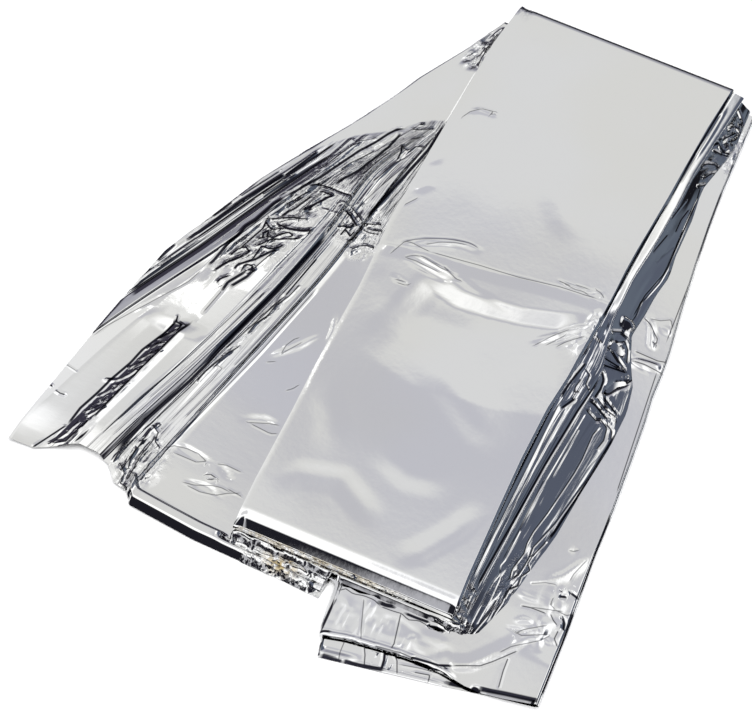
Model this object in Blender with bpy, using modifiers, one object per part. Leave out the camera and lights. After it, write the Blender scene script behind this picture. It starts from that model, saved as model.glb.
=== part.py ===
"""Folded emergency foil blanket: one sheet of metallised film, folded into a long strip.

The sheet is one continuous back-and-forth section. From the left it starts as a
wing whose pleats fan out over the surface, runs under the strip to the wide base
on the right, turns back on itself there, and then climbs in passes that turn at
the left and right edges of the strip. The last pass is tucked in under the top
one, so both long edges of the strip are folds. The near end of the top pass
rolls down over the ends of the others.

A column is one line of the sheet that runs along the strip, and a row crosses all
the passes. A grid with that many columns and rows is folded into place, and
Solidify gives it the film's thickness. The tables are in millimetres, measured
from the strip's near left corner: X across, Y along, Z up. The finished sheet is
moved so that its origin lies under the middle of its box.
"""

from bisect import bisect_right
from collections import namedtuple
from functools import lru_cache
from math import cos, pi, sin

import bmesh
import bpy
from mathutils import Vector

MM = 0.001
COLLECTION_NAME = "folded_foil_blanket"
NODE_NAME = "foil_blanket"

# Driving dimensions, in millimetres.
FILM = 1.0              # thickness of the sheet
PITCH = 1.38            # one pass to the next
PITCH_SQUEEZED = 1.32   # the same where the strip is pressed flat
FOLD_STEPS = 4          # facets around a fold
WING_STEPS = 10         # columns from the wing's outer edge to its inner pleats
ROLL_RADIUS = 2.6       # the near end of the top pass rolls down around this radius
ROLL_LENGTH = 5.4       # length of film that rolls down
ROLL_SHOULDER = 11.0    # the roll fades out over this length at both corners

# The long edges of every layer, along the strip.
Section = namedtuple("Section", "y wing left top middle lower base")
SECTIONS = (
    Section(-30, -88.0, 2.0, 84.5, 86.5, 91.0, 123.0),
    Section(0, -86.6, 2.0, 84.5, 87.5, 93.0, 120.8),
    Section(15, -84.5, 1.0, 83.2, 88.0, 98.0, 119.8),
    Section(45, -81.0, 0.0, 81.7, 88.5, 102.0, 117.0),
    Section(63, -79.0, -1.0, 81.0, 89.0, 103.0, 116.0),
    Section(85, -75.5, -1.6, 80.5, 90.5, 105.0, 114.0),
    Section(100, -70.0, -1.8, 81.0, 91.5, 105.0, 112.5),
    Section(110, -66.2, -2.5, 81.5, 91.0, 103.0, 111.0),
    Section(120, -62.6, -3.5, 81.8, 88.5, 98.0, 110.5),
    Section(130, -59.0, -4.6, 82.0, 87.5, 94.5, 109.5),
    Section(149, -50.0, -4.6, 82.7, 88.5, 97.0, 106.5),
    Section(168, -40.0, -4.6, 83.3, 89.5, 97.5, 104.0),
    Section(186, -31.5, -4.6, 84.0, 90.5, 96.0, 102.0),
    Section(200, -26.0, -4.6, 85.0, 91.0, 95.5, 100.8),
    Section(222, -15.0, -4.6, 86.2, 92.0, 97.5, 99.8),
    Section(246, -5.0, -2.0, 88.3, 92.8, 96.0, 98.5),
)

# The wing's fold lines, outermost first: where each crosses six heights of the
# strip, and how high it stands over the surface.
Crease = namedtuple("Crease", "name y180 y150 y125 y100 y60 y0 height")
CREASE_HEIGHTS = (180, 150, 125, 100, 60, 0)
CREASES = (
    Crease("outer ridge", -38, -48.5, -59.5, -71, -88, -114, 3.0),
    Crease("outer valley", -36, -46, -56, -67.5, -84.5, -110.5, 1.0),
    Crease("long ridge", -34, -42.5, -51.5, -63, -80, -106, 4.2),
    Crease("long foot", -31, -39, -47.6, -59, -75.8, -101, 0.8),
    Crease("panel edge", -26, -36, -46, -55, -72.5, -97, 1.8),
    Crease("facet foot", -16, -31, -42, -50.5, -58, -73, 1.2),
    Crease("facet crest", -14, -29, -37, -44.5, -52.5, -66.5, 4.6),
    Crease("strip end", -12.5, -26, -28.5, -33.5, -42, -59, 4.4),
    Crease("black crest", -11.5, -24, -26, -30.5, -39.5, -56, 4.9),
    Crease("black foot", -10.5, -21, -23, -27.5, -36.5, -50.5, 1.2),
    Crease("inner ridge", -9.6, -18.5, -21, -25.5, -33.5, -46, 2.4),
    Crease("inner foot", -8.9, -16, -19, -23.5, -30, -42.5, 1.0),
    Crease("border ridge", -8.2, -13, -16, -19.5, -27, -38.5, 2.4),
    Crease("border foot", -7.5, -11, -13.5, -17, -24.5, -36, 0.7),
)
FIRST_INNER_CREASE = 5      # the creases from here on have a column each
WING_FLAT = 1.2             # height of the flat panel above the arc
WING_TIP = 0.3              # and of the wing's far tip
WING_TIP_START, WING_TIP_END = 205.0, 238.0
CALM_START, CALM_END = -6.0, 12.0       # the pleats are lower along the wing's near edge
CALM_SHARE = 0.55                       # height left to them there
STRIP_GAP = 2.5             # the wing lies flat this close to the strip
STRIP_BLEND = 7.0           # and its flat panel rises to full height this far from it
TUCK_X = 8.0                # its last column, this far under the strip
FLAT_STEPS = 3              # columns between the innermost fold line and the strip
FLAT_MARGIN = 2.0           # the last of them is this far from the strip
EVEN_START, EVEN_END = 165.0, 215.0     # past the pleats its columns become evenly spaced

# The arc where the flat panel of the wing breaks into pleats.
Bend = namedtuple("Bend", "x y")
ARC = (Bend(-56, 146), Bend(-45, 154), Bend(-36, 163.5), Bend(-25, 172), Bend(-16, 181), Bend(-6, 187))
ARC_SOFTNESS = 9.0

# The near edge of the bottom pass, out to where it goes under the strip.
NEAR_EDGE = (
    Bend(-88, -7), Bend(-77, -6), Bend(-66, 0), Bend(-63, 2), Bend(-56, 2), Bend(-50, 0),
    Bend(-45, -5), Bend(-39, -6), Bend(-36, -10), Bend(-10, -11.5), Bend(8, -11.2),
)

# The near end of the strip, where the top pass rolls down.
STRIP_END = (Bend(0, -0.5), Bend(85, 3.0))

# Columns of a pass: share of its way from left to right, and how far its near end
# lies beyond the strip's (less than 0 is nearer).
Station = namedtuple("Station", "share near")
BASE_STATIONS = (       # the bottom pass, from TUCK_X to the base's right edge
    Station(0.15, -11.6), Station(0.272, -12.4), Station(0.277, -2.4), Station(0.299, -2.4),
    Station(0.325, -21.2), Station(0.351, -31.5), Station(0.50, -28.4), Station(0.70, -24.2),
    Station(0.86, -20.3),
)
RETURN_STATIONS = (     # the second pass, which covers the base, from the strip's left edge
    Station(0.12, -5.0), Station(0.32, -5.0), Station(0.335, -6.0), Station(0.365, -24.0),
    Station(0.49, -21.7), Station(0.66, -20.0), Station(0.80, -19.2), Station(0.90, -18.2),
)
LOWER_STATIONS = (Station(0.25, -3.0), Station(0.5, -3.0), Station(0.75, -3.0))
MIDDLE_STATIONS = (Station(0.25, 1.6), Station(0.5, 1.6), Station(0.75, 1.6))
TOP_STATIONS = (
    Station(0.06, 2.6), Station(0.2, 2.6), Station(0.5, 2.6), Station(0.8, 2.6), Station(0.94, 2.6),
)
TUCKED_STATIONS = (Station(0.0, 3.4), Station(0.25, 3.4), Station(0.5, 3.4), Station(0.75, 3.0))

# Each pass, in the order in which the film runs: its level in the pile, its right
# fold, its columns, its near end at its folds, and its far end.
Pass = namedtuple("Pass", "level right_edge stations left_near right_near far")
PASSES = (
    Pass(0, "base", BASE_STATIONS, 0.0, -17.5, 240.0),
    Pass(1, "base", RETURN_STATIONS, -3.5, -17.0, 240.0),
    Pass(2, "lower", LOWER_STATIONS, -3.0, -5.0, 241.0),
    Pass(3, "lower", LOWER_STATIONS, -1.5, -4.5, 241.5),
    Pass(4, "middle", MIDDLE_STATIONS, -1.0, 1.6, 242.0),
    Pass(5, "middle", MIDDLE_STATIONS, 1.6, 1.6, 242.5),
    Pass(7, "top", TOP_STATIONS, 2.0, 2.4, 243.5),
    Pass(6, "top", TUCKED_STATIONS, 3.4, 2.6, 243.0),
)
TOP_PASS = 6            # its place in the list
TUCKED_END = 9.0        # the last pass stops this far short of the left fold

# Rows: shares of the way from a column's near end to the first shared row, the
# same for the film that rolls down, the shared rows, and the last row.
NEAR_ROWS = (0.0, 0.06, 0.12, 0.2, 0.36, 0.64)
ROLL_ROWS = (0.0, 0.07, 0.14, 0.22, 0.34, 0.64)
SHARED_ROWS = (20, 32, 45, 58, 72, 85, 98, 108, 116, 122, 127, 132, 139, 150, 162, 175, 190, 206, 224)

# Near edges that stand up off the surface: pass level, stretch of X, how far back
# from the edge the film lifts, and how high.
Lift = namedtuple("Lift", "level x_from x_to reach height")
LIFTS = (
    Lift(0, -41, 37, 5.6, 3.0),
    Lift(0, 48, 92, 5.0, 2.0),
    Lift(1, 44, 122, 9.0, 1.2),
    Lift(1, 92, 121, 9.0, 1.4),
)
LIFT_PEAK = 0.3         # the crest of a lift, as a share of its reach
LIFT_LIP = 0.4          # height left at the very edge
LIFT_ENDS = 5.0         # a lift fades in over this much of X

# Soft forms of the top pass: centre, half sizes and height.
Swell = namedtuple("Swell", "x y half_x half_y height")
SWELLS = (
    Swell(36, 62, 44, 52, 1.0),
    Swell(44, 186, 46, 50, 0.7),
    Swell(20, 20, 22, 14, 0.35),
)
MID_CREASE_LEFT, MID_CREASE_RIGHT = 122.0, 134.0    # where the strip's cross fold meets its edges
MID_CREASE_REACH = 7.0      # and how far from it the film is pressed flat
NEAR_SQUEEZE = 14.0         # length of the near end that is pressed flat
RIGHT_SQUEEZE_START, RIGHT_SQUEEZE_END = -8.0, 4.0      # the same across the strip's right edge

FOIL_COLOUR = (0.83, 0.84, 0.86, 1.0)
FOIL_ROUGHNESS = 0.12


def blend(low, high, share):
    """Value at a share of the way from low to high."""
    return low + (high - low) * share


def soft_step(value, start, end):
    """0 before start, 1 past end, and a smooth rise between them."""
    share = min(max((value - start) / (end - start), 0.0), 1.0)
    return share * share * (3.0 - 2.0 * share)


def read_line(points, place):
    """Value of a broken line of (place, value) pairs, which goes on straight past its ends."""
    index = min(max(bisect_right([point[0] for point in points], place), 1), len(points) - 1)
    (start, low), (end, high) = points[index - 1], points[index]
    return blend(low, high, (place - start) / (end - start))


@lru_cache(maxsize=None)
def edge_x(name, y):
    """X of a long edge at a place along the strip."""
    return read_line([(section.y, getattr(section, name)) for section in SECTIONS], y)


@lru_cache(maxsize=None)
def crease_x(crease, y):
    """X of one of the wing's fold lines at a place along the strip."""
    line = list(zip(reversed(CREASE_HEIGHTS), reversed(crease[1:-1])))
    return read_line(line, min(y, CREASE_HEIGHTS[0]))


def pleat_height(x, y):
    """Height of the wing's pleats: straight facets from one fold line to the next."""
    profile = [(crease_x(crease, y), crease.height) for crease in CREASES]
    profile.append((edge_x("left", y) - STRIP_GAP, 0.0))
    if x >= profile[-1][0]:
        return 0.0
    if x <= profile[0][0]:
        return profile[0][1]
    return read_line(profile, x)


def wing_height(x, y):
    """Height of the bottom pass, left of the strip: pleats below the arc, a flat panel above it."""
    inside = soft_step(edge_x("left", y) - x, STRIP_GAP, STRIP_BLEND)
    tip = soft_step(y, WING_TIP_START, WING_TIP_END)
    panel = blend(WING_FLAT, WING_TIP, tip) * inside
    pleated = soft_step(read_line(ARC, x) - y, 0.0, ARC_SOFTNESS)
    calm = blend(CALM_SHARE, 1.0, soft_step(y, CALM_START, CALM_END))
    pleats = pleat_height(x, y) * calm
    return blend(panel, pleats, pleated)


def lift_height(level, x, from_edge):
    """How far a near edge stands up at a distance back from that edge."""
    height = 0.0
    for lift in LIFTS:
        if lift.level != level or from_edge >= lift.reach:
            continue
        peak = LIFT_PEAK * lift.reach
        if from_edge < peak:
            rise = blend(LIFT_LIP, 1.0, from_edge / peak)
        else:
            rise = cos(0.5 * pi * (from_edge - peak) / (lift.reach - peak)) ** 2
        ends = (soft_step(x, lift.x_from, lift.x_from + LIFT_ENDS)
                * soft_step(-x, -lift.x_to, LIFT_ENDS - lift.x_to))
        height = max(height, lift.height * rise * ends)
    return height


def swell_height(x, y):
    """Height of the soft forms of the top pass."""
    total = 0.0
    for swell in SWELLS:
        distance = ((x - swell.x) / swell.half_x) ** 2 + ((y - swell.y) / swell.half_y) ** 2
        total += swell.height * max(0.0, 1.0 - distance) ** 2
    return total


def pitch_at(x, y):
    """Distance from one pass to the next, less where the strip is pressed flat."""
    across = (x - edge_x("left", y)) / (edge_x("top", y) - edge_x("left", y))
    crease_y = blend(MID_CREASE_LEFT, MID_CREASE_RIGHT, min(max(across, 0.0), 1.0))
    pressed = max(
        1.0 - soft_step(abs(y - crease_y), 0.0, MID_CREASE_REACH),
        1.0 - soft_step(y, 0.0, NEAR_SQUEEZE),
        soft_step(x - edge_x("top", y), RIGHT_SQUEEZE_START, RIGHT_SQUEEZE_END),
    )
    return blend(PITCH, PITCH_SQUEEZED, pressed)


def pass_z(level, x, y, near):
    """Height of the film's middle in one pass."""
    z = 0.5 * FILM + level * pitch_at(x, y)
    if level == 0 and x < TUCK_X:
        z += wing_height(x, y)
    z += lift_height(level, x, y - near)
    if level == PASSES[TOP_PASS].level:
        z += swell_height(x, y)
    return z


def roll_over(x, y, z, start):
    """Carry film that reaches past the roll's start around it and down the near end."""
    past = start - y
    if past <= 0.0:
        return x, y, z
    bend = min(past / ROLL_RADIUS, 0.5 * pi)
    straight = max(0.0, past - 0.5 * pi * ROLL_RADIUS)
    return x, start - ROLL_RADIUS * sin(bend), z - ROLL_RADIUS * (1.0 - cos(bend)) - straight


def row_places(near, far, roll_start=0.0, roll=0.0):
    """Y of every row of a column; roll is the share of the film that rolls down."""
    first = SHARED_ROWS[0]
    places = []
    for plain_share, roll_share in zip(NEAR_ROWS, ROLL_ROWS):
        plain = blend(near, first, plain_share)
        rolled = blend(roll_start - ROLL_LENGTH, first, roll_share)
        places.append(blend(plain, rolled, roll))
    return places + list(SHARED_ROWS) + [far]


@lru_cache(maxsize=None)
def wing_places(y):
    """X of every column of the wing, from its outer edge to where it goes under the strip."""
    edge = edge_x("wing", y)
    inner = [crease_x(crease, y) for crease in CREASES[FIRST_INNER_CREASE:]]
    places = [blend(edge, inner[0], step / WING_STEPS) for step in range(WING_STEPS)]
    places += inner
    flat_end = edge_x("left", y) - FLAT_MARGIN
    places += [blend(inner[-1], flat_end, (step + 1) / FLAT_STEPS) for step in range(FLAT_STEPS)]
    places.append(TUCK_X)
    evened = soft_step(y, EVEN_START, EVEN_END)
    last = len(places) - 1
    return [blend(x, blend(edge, TUCK_X, index / last), evened) for index, x in enumerate(places)]


def wing_points():
    """The wing's columns, each a list of points from its near end to its far end."""
    columns = []
    for index, near_x in enumerate(wing_places(0.0)):
        near = read_line(NEAR_EDGE, near_x)
        column = []
        for y in row_places(near, PASSES[0].far):
            x = wing_places(y)[index]
            column.append((x, y, pass_z(0, x, y, near)))
        columns.append(column)
    return columns


def pass_points(film_pass, start):
    """Columns of one pass, left to right; start gives X of its left limit along the strip."""
    radius = 0.5 * PITCH_SQUEEZED
    columns = []
    for station in film_pass.stations:
        width = edge_x(film_pass.right_edge, 0.0) - start(0.0)
        near_x = start(0.0) + station.share * width
        strip_end = read_line(STRIP_END, near_x)
        near = strip_end + station.near
        roll = 0.0
        if film_pass is PASSES[TOP_PASS]:
            roll = soft_step(min(station.share, 1.0 - station.share) * width, 0.0, ROLL_SHOULDER)
        column = []
        for y in row_places(near, film_pass.far, strip_end + ROLL_RADIUS, roll):
            end = edge_x(film_pass.right_edge, y) - radius
            x = blend(start(y), end, station.share)
            z = pass_z(film_pass.level, x, y, near)
            column.append(roll_over(x, y, z, strip_end + ROLL_RADIUS) if roll > 0.0 else (x, y, z))
        columns.append(column)
    return columns


def fold_points(lower, upper, at_right):
    """Columns around the fold that joins two passes, in the order in which the film runs."""
    edge = upper.right_edge if at_right else "left"
    side = 1.0 if at_right else -1.0
    strip_end = read_line(STRIP_END, edge_x(edge, 0.0))
    lower_near = strip_end + (lower.right_near if at_right else lower.left_near)
    upper_near = strip_end + (upper.right_near if at_right else upper.left_near)
    columns = []
    for step in range(FOLD_STEPS + 1):
        share = step / FOLD_STEPS
        turn = pi * share
        near = blend(lower_near, upper_near, share)
        column = []
        for y in row_places(near, blend(lower.far, upper.far, share)):
            rim = edge_x(edge, y)
            low = pass_z(lower.level, rim, y, near)
            high = pass_z(upper.level, rim, y, near)
            radius = 0.5 * abs(high - low)
            x = rim + side * radius * (sin(turn) - 1.0)
            column.append((x, y, 0.5 * (low + high) - 0.5 * (high - low) * cos(turn)))
        columns.append(column)
    return columns


def left_limit(inset):
    """X of a pass's left end along the strip, this far in from the left edge."""
    return lambda y: edge_x("left", y) + inset


def sheet_columns():
    """All the columns of the sheet, in the order in which the film runs."""
    columns = wing_points() + pass_points(PASSES[0], lambda y: TUCK_X)
    for index in range(1, len(PASSES)):
        lower, upper = PASSES[index - 1], PASSES[index]
        at_right = index % 2 == 1
        columns += fold_points(lower, upper, at_right)
        inset = 0.5 * PITCH
        if index == TOP_PASS:
            inset *= upper.level - lower.level
        if index == len(PASSES) - 1:
            inset = TUCKED_END
        run = pass_points(upper, left_limit(inset))
        columns += reversed(run) if at_right else run
    return columns


def fold_grid(mesh, columns):
    """Make a flat grid with the sheet's columns and rows, and fold it into place."""
    rows = len(columns[0])
    bmesh.ops.create_grid(mesh, x_segments=len(columns) - 1, y_segments=rows - 1, size=1.0)
    for vertex in mesh.verts:
        column = round((vertex.co.x + 1.0) * 0.5 * (len(columns) - 1))
        row = round((vertex.co.y + 1.0) * 0.5 * (rows - 1))
        vertex.co = Vector(columns[column][row]) * MM


def centre_under_box(mesh):
    """Move the mesh so that the origin lies under the middle of the finished sheet's box."""
    low = [min(vertex.co[axis] for vertex in mesh.verts) for axis in range(3)]
    high = [max(vertex.co[axis] for vertex in mesh.verts) for axis in range(3)]
    shift = Vector((-0.5 * (low[0] + high[0]), -0.5 * (low[1] + high[1]), 0.0))
    bmesh.ops.translate(mesh, verts=mesh.verts, vec=shift)


def foil_material():
    """Bright metallised film."""
    material = bpy.data.materials.new("foil")
    material.use_nodes = True
    shader = material.node_tree.nodes["Principled BSDF"]
    shader.inputs["Base Color"].default_value = FOIL_COLOUR
    shader.inputs["Metallic"].default_value = 1.0
    shader.inputs["Roughness"].default_value = FOIL_ROUGHNESS
    material.diffuse_color = FOIL_COLOUR
    return material


def make_blanket(collection):
    """Build the folded sheet as one solid."""
    mesh = bmesh.new()
    fold_grid(mesh, sheet_columns())
    centre_under_box(mesh)
    data = bpy.data.meshes.new(NODE_NAME)
    mesh.to_mesh(data)
    mesh.free()
    data.materials.append(foil_material())
    blanket = bpy.data.objects.new(NODE_NAME, data)
    collection.objects.link(blanket)
    thickness = blanket.modifiers.new("film thickness", "SOLIDIFY")
    thickness.thickness = FILM * MM
    thickness.offset = 0.0
    thickness.use_even_offset = True
    return blanket


def rest_flat(blanket):
    """Apply the thickness, and level what would dip below the surface that the sheet lies on."""
    depsgraph = bpy.context.evaluated_depsgraph_get()
    data = bpy.data.meshes.new_from_object(blanket.evaluated_get(depsgraph))
    for vertex in data.vertices:
        vertex.co.z = max(vertex.co.z, 0.0)
    blanket.modifiers.clear()
    blanket.data = data
    data.name = NODE_NAME


def main():
    """Clear the scene and build the blanket in its own collection."""
    for old in list(bpy.data.objects):
        bpy.data.objects.remove(old, do_unlink=True)
    collection = bpy.data.collections.new(COLLECTION_NAME)
    bpy.context.scene.collection.children.link(collection)
    rest_flat(make_blanket(collection))


main()
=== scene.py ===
"""A folded emergency foil blanket: one thin sheet of mirror-bright film on the folds of its solid.

The sheet runs on without a cut. From the left it starts as a wing of pleats, goes under the
folded strip to the wide base on the right, turns back there, and climbs in passes that turn
at the strip's two edges. A flat grid of film is laid out, folded into place column by
column, creased and crumpled, and dressed as metallised film.

All sizes are in millimetres in the strip's own frame: X across from the strip's near left
corner, Y along the strip to its far end, Z up. The film is moved from there to the part's
frame when its mesh is made.
"""

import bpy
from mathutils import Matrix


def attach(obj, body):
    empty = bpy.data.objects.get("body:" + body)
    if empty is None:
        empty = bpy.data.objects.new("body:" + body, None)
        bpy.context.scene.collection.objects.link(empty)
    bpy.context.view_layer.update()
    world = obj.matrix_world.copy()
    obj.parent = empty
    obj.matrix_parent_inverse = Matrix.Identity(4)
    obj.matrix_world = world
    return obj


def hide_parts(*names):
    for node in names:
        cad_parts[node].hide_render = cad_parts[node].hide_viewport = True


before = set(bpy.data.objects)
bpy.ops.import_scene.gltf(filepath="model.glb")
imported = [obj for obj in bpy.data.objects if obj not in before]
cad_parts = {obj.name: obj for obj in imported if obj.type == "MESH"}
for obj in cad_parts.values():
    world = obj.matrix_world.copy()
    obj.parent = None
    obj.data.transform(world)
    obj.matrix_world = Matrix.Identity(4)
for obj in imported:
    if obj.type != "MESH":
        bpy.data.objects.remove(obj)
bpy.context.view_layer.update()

import logging
from dataclasses import dataclass, field
from enum import Enum
from math import cos, pi, radians, sin
from typing import Any, Callable, Iterable, Union

import bmesh
import bpy
import numpy as np
from mathutils import Matrix, Vector

Grid = np.ndarray
Number = Union[float, np.ndarray]
Socket = bpy.types.NodeSocket

MM = 0.001
NODE = "foil_blanket"
SHIFT = (-17.41, -106.73, 0.0)  # from the strip's frame to the part's
LOG = logging.getLogger("foil blanket")

HASH_COLUMN, HASH_ROW, HASH_SEED, HASH_MIX = 374761393, 668265263, 974634777, 1274126177
WORD = 0xFFFFFFFF  # the largest number of 32 bits
SKEW = 0.3660254  # turns a square lattice into even triangles
WANDER = 0.45  # how far crumpled facets wander, in their own size
FINE_SIZE = 0.45  # the finer facets' size, as a share of the broad ones'
FINE_HEIGHT = 0.38  # and their height
BOTH_HEIGHTS = 1.2  # divides the sum of the two, so that it stays near 1
LEAST_WIDTH = 0.05  # keeps divisions by a fold's width safe
FLOOR_GAP = 0.12  # the film is never lower than this


@dataclass(frozen=True)
class Sight:
    """The camera's view of the blanket. Its picture points are landed on the film.

    A picture point is in pixels from the top left corner of the picture.
    """

    azimuth: float = 26.6  # degrees to the right of the strip's near end
    elevation: float = 61.5
    distance: float = 725.0
    aim: tuple = (14.4, 81.5, 0.0)
    picture: tuple = (752.0, 712.0)
    focal: float = 2000.0  # in pixels
    sensor: float = 36.0

    def axes(self) -> tuple:
        """Directions of the view.

        Returns:
            Right, up, and back towards the eye.
        """
        turn, rise = radians(self.azimuth), radians(self.elevation)
        back = Vector((sin(turn) * cos(rise), -cos(turn) * cos(rise), sin(rise)))
        right = Vector((cos(turn), sin(turn), 0.0))
        return right, back.cross(right), back

    def land(self, points: Iterable[tuple], level: float) -> tuple:
        """Where picture points lie on a level plane.

        Args:
            points: picture points.
            level: height of the plane.

        Returns:
            X and Y of each point.
        """
        right, up, back = self.axes()
        eye = Vector(self.aim) + back * self.distance
        middle_x, middle_y = self.picture[0] / 2, self.picture[1] / 2
        landed = []
        for across, down in points:
            ray = right * (across - middle_x) - up * (down - middle_y) - back * self.focal
            spot = eye + ray * ((level - eye.z) / ray.z)
            landed.append((spot.x, spot.y))
        return tuple(landed)


SIGHT = Sight()


# -------------------- curves and noise


def mix(low: Number, high: Number, share: Number) -> Number:
    """Value at a share of the way from low to high."""
    return low + (high - low) * share


def soft_step(value: Number, start: float, end: float) -> Number:
    """0 before start, 1 past end, and a smooth rise between them."""
    share = np.clip((value - start) / (end - start), 0.0, 1.0)
    return share * share * (3.0 - 2.0 * share)


def window(value: Number, start: float, end: float, soft: float) -> Number:
    """1 between start and end, fading out over soft at both."""
    return soft_step(value, start - soft, start + soft) * (1.0 - soft_step(value, end - soft, end + soft))


def read_curve(places: Iterable[float], values: Iterable[float], at: Number) -> Grid:
    """Read a smooth curve through a table's points.

    Args:
        places: the table's places, rising.
        values: the value at each place.
        at: where to read it; outside the table the end value holds.

    Returns:
        The curve's value at each place asked for.
    """
    places = np.asarray(list(places), float)
    values = np.asarray(list(values), float)
    slopes = np.gradient(values, places)
    at = np.clip(at, places[0], places[-1])
    index = np.clip(np.searchsorted(places, at, side="right") - 1, 0, len(places) - 2)
    span = places[index + 1] - places[index]
    share = (at - places[index]) / span
    square, cube = share ** 2, share ** 3
    low = (2 * cube - 3 * square + 1) * values[index] + (cube - 2 * square + share) * span * slopes[index]
    high = (3 * square - 2 * cube) * values[index + 1] + (cube - square) * span * slopes[index + 1]
    return low + high


def hashed(column: Grid, row: Grid, seed: int) -> Grid:
    """A fixed value for each cell of a lattice.

    Args:
        column: the cells' columns.
        row: the cells' rows.
        seed: which set of values to use.

    Returns:
        A value from -1 to 1 for each cell.
    """
    mixed = column.astype(np.int64) * HASH_COLUMN + row.astype(np.int64) * HASH_ROW + seed * HASH_SEED
    mixed = mixed & WORD
    mixed = ((mixed ^ (mixed >> 13)) * HASH_MIX) & WORD
    mixed = mixed ^ (mixed >> 16)
    return mixed / (WORD >> 1) - 1.0


def facets(x: Grid, y: Grid, seed: int) -> Grid:
    """Heights of crumpled film: flat triangles about one unit wide.

    Args:
        x: X of the points.
        y: Y of the points.
        seed: which pattern to use.

    Returns:
        A height from -1 to 1 for each point.
    """
    skew = (x + y) * SKEW
    across, along = x + skew, y + skew
    column, row = np.floor(across), np.floor(along)
    right, up = across - column, along - row
    lower = right > up
    near = hashed(column, row, seed)
    far = hashed(column + 1, row + 1, seed)
    side = np.where(lower, hashed(column + 1, row, seed), hashed(column, row + 1, seed))
    return (1.0 - np.maximum(right, up)) * near + np.abs(right - up) * side + np.minimum(right, up) * far


def drift(x: Grid, y: Grid, seed: int) -> Grid:
    """Smooth wandering noise about one unit wide.

    Args:
        x: X of the points.
        y: Y of the points.
        seed: which pattern to use.

    Returns:
        A value from -1 to 1 for each point.
    """
    column, row = np.floor(x), np.floor(y)
    right, up = x - column, y - row
    right, up = right * right * (3 - 2 * right), up * up * (3 - 2 * up)
    low = mix(hashed(column, row, seed), hashed(column + 1, row, seed), right)
    high = mix(hashed(column, row + 1, seed), hashed(column + 1, row + 1, seed), right)
    return mix(low, high, up)


def crumple(x: Grid, y: Grid, size: float, seed: int) -> Grid:
    """Two sizes of wandering facets, as hand-crumpled film has.

    Args:
        x: X of the points.
        y: Y of the points.
        size: width of the broad facets.
        seed: which pattern to use.

    Returns:
        A height of about -1 to 1 for each point.
    """
    bend_x = x + WANDER * size * drift(x / size, y / size, seed + 1)
    bend_y = y + WANDER * size * drift(x / size, y / size, seed + 2)
    broad = facets(bend_x / size, bend_y / size, seed)
    fine = facets(bend_x / (FINE_SIZE * size), bend_y / (FINE_SIZE * size), seed + 3)
    return (broad + FINE_HEIGHT * fine) / BOTH_HEIGHTS


# -------------------- the sheet's lines


class Edge(Enum):
    """The long edges of the layers."""

    WING = "wing"
    LEFT = "left"
    TOP = "top"
    MIDDLE = "middle"
    LOWER = "lower"
    BASE = "base"


@dataclass(frozen=True)
class EdgeRow:
    """X of every long edge at one place along the strip."""

    y: float
    wing: float
    left: float
    top: float
    middle: float
    lower: float
    base: float


EDGE_ROWS = (
    EdgeRow(-31, -88, 2, 84.5, 86.5, 91, 122.9),
    EdgeRow(0, -86.6, 2, 84.5, 87.5, 93, 120.8),
    EdgeRow(15, -84.5, 1, 83.2, 88, 98, 119.8),
    EdgeRow(45, -81, 0, 81.7, 88.5, 102, 117),
    EdgeRow(63, -79, -1, 81, 89, 103, 116),
    EdgeRow(85, -75.5, -1.6, 81, 90.5, 105, 114),
    EdgeRow(100, -70, -1.8, 82.2, 91.5, 105, 112.5),
    EdgeRow(110, -66.2, -2.5, 82.4, 91, 103, 111),
    EdgeRow(120, -62.6, -3.5, 82.9, 88.5, 98, 110.5),
    EdgeRow(130, -59, -4.6, 83.4, 86.4, 94.2, 109.5),
    EdgeRow(140, -54.3, -4.6, 83.5, 86, 95.2, 107.9),
    EdgeRow(149, -50, -4.6, 83.4, 85.9, 95.5, 106.5),
    EdgeRow(159, -44.8, -4.6, 83.7, 86.8, 96.9, 105.2),
    EdgeRow(168, -40, -4.6, 84.2, 87.6, 95.6, 104),
    EdgeRow(186, -31.5, -4.6, 85.1, 88.4, 95, 102),
    EdgeRow(200, -26, -4.6, 85.5, 88.6, 93.2, 100.8),
    EdgeRow(222, -15, -4.6, 86.4, 90.5, 97.5, 99.8),
    EdgeRow(246, -5, -2, 88.3, 92.8, 96, 98.5),
)


def edge_x(edge: Edge, y: Number) -> Grid:
    """X of a long edge at a place along the strip."""
    return np.interp(y, [row.y for row in EDGE_ROWS], [getattr(row, edge.value) for row in EDGE_ROWS])


@dataclass(frozen=True)
class FanLine:
    """One fold line of the wing: where it crosses six heights of the strip, and how high it stands."""

    name: str
    y180: float
    y150: float
    y125: float
    y100: float
    y60: float
    y0: float
    heights: tuple  # (place along the strip, height) pairs
    steps: int  # columns of film from the line before it

    def x(self, y: Number) -> Grid:
        """X of the line at a place along the strip."""
        across = (self.y0, self.y60, self.y100, self.y125, self.y150, self.y180)
        return read_curve((0, 60, 100, 125, 150, 180), across, y)

    def height(self, y: Number) -> Grid:
        """Height of the line at a place along the strip."""
        return np.interp(y, *zip(*self.heights))


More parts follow.
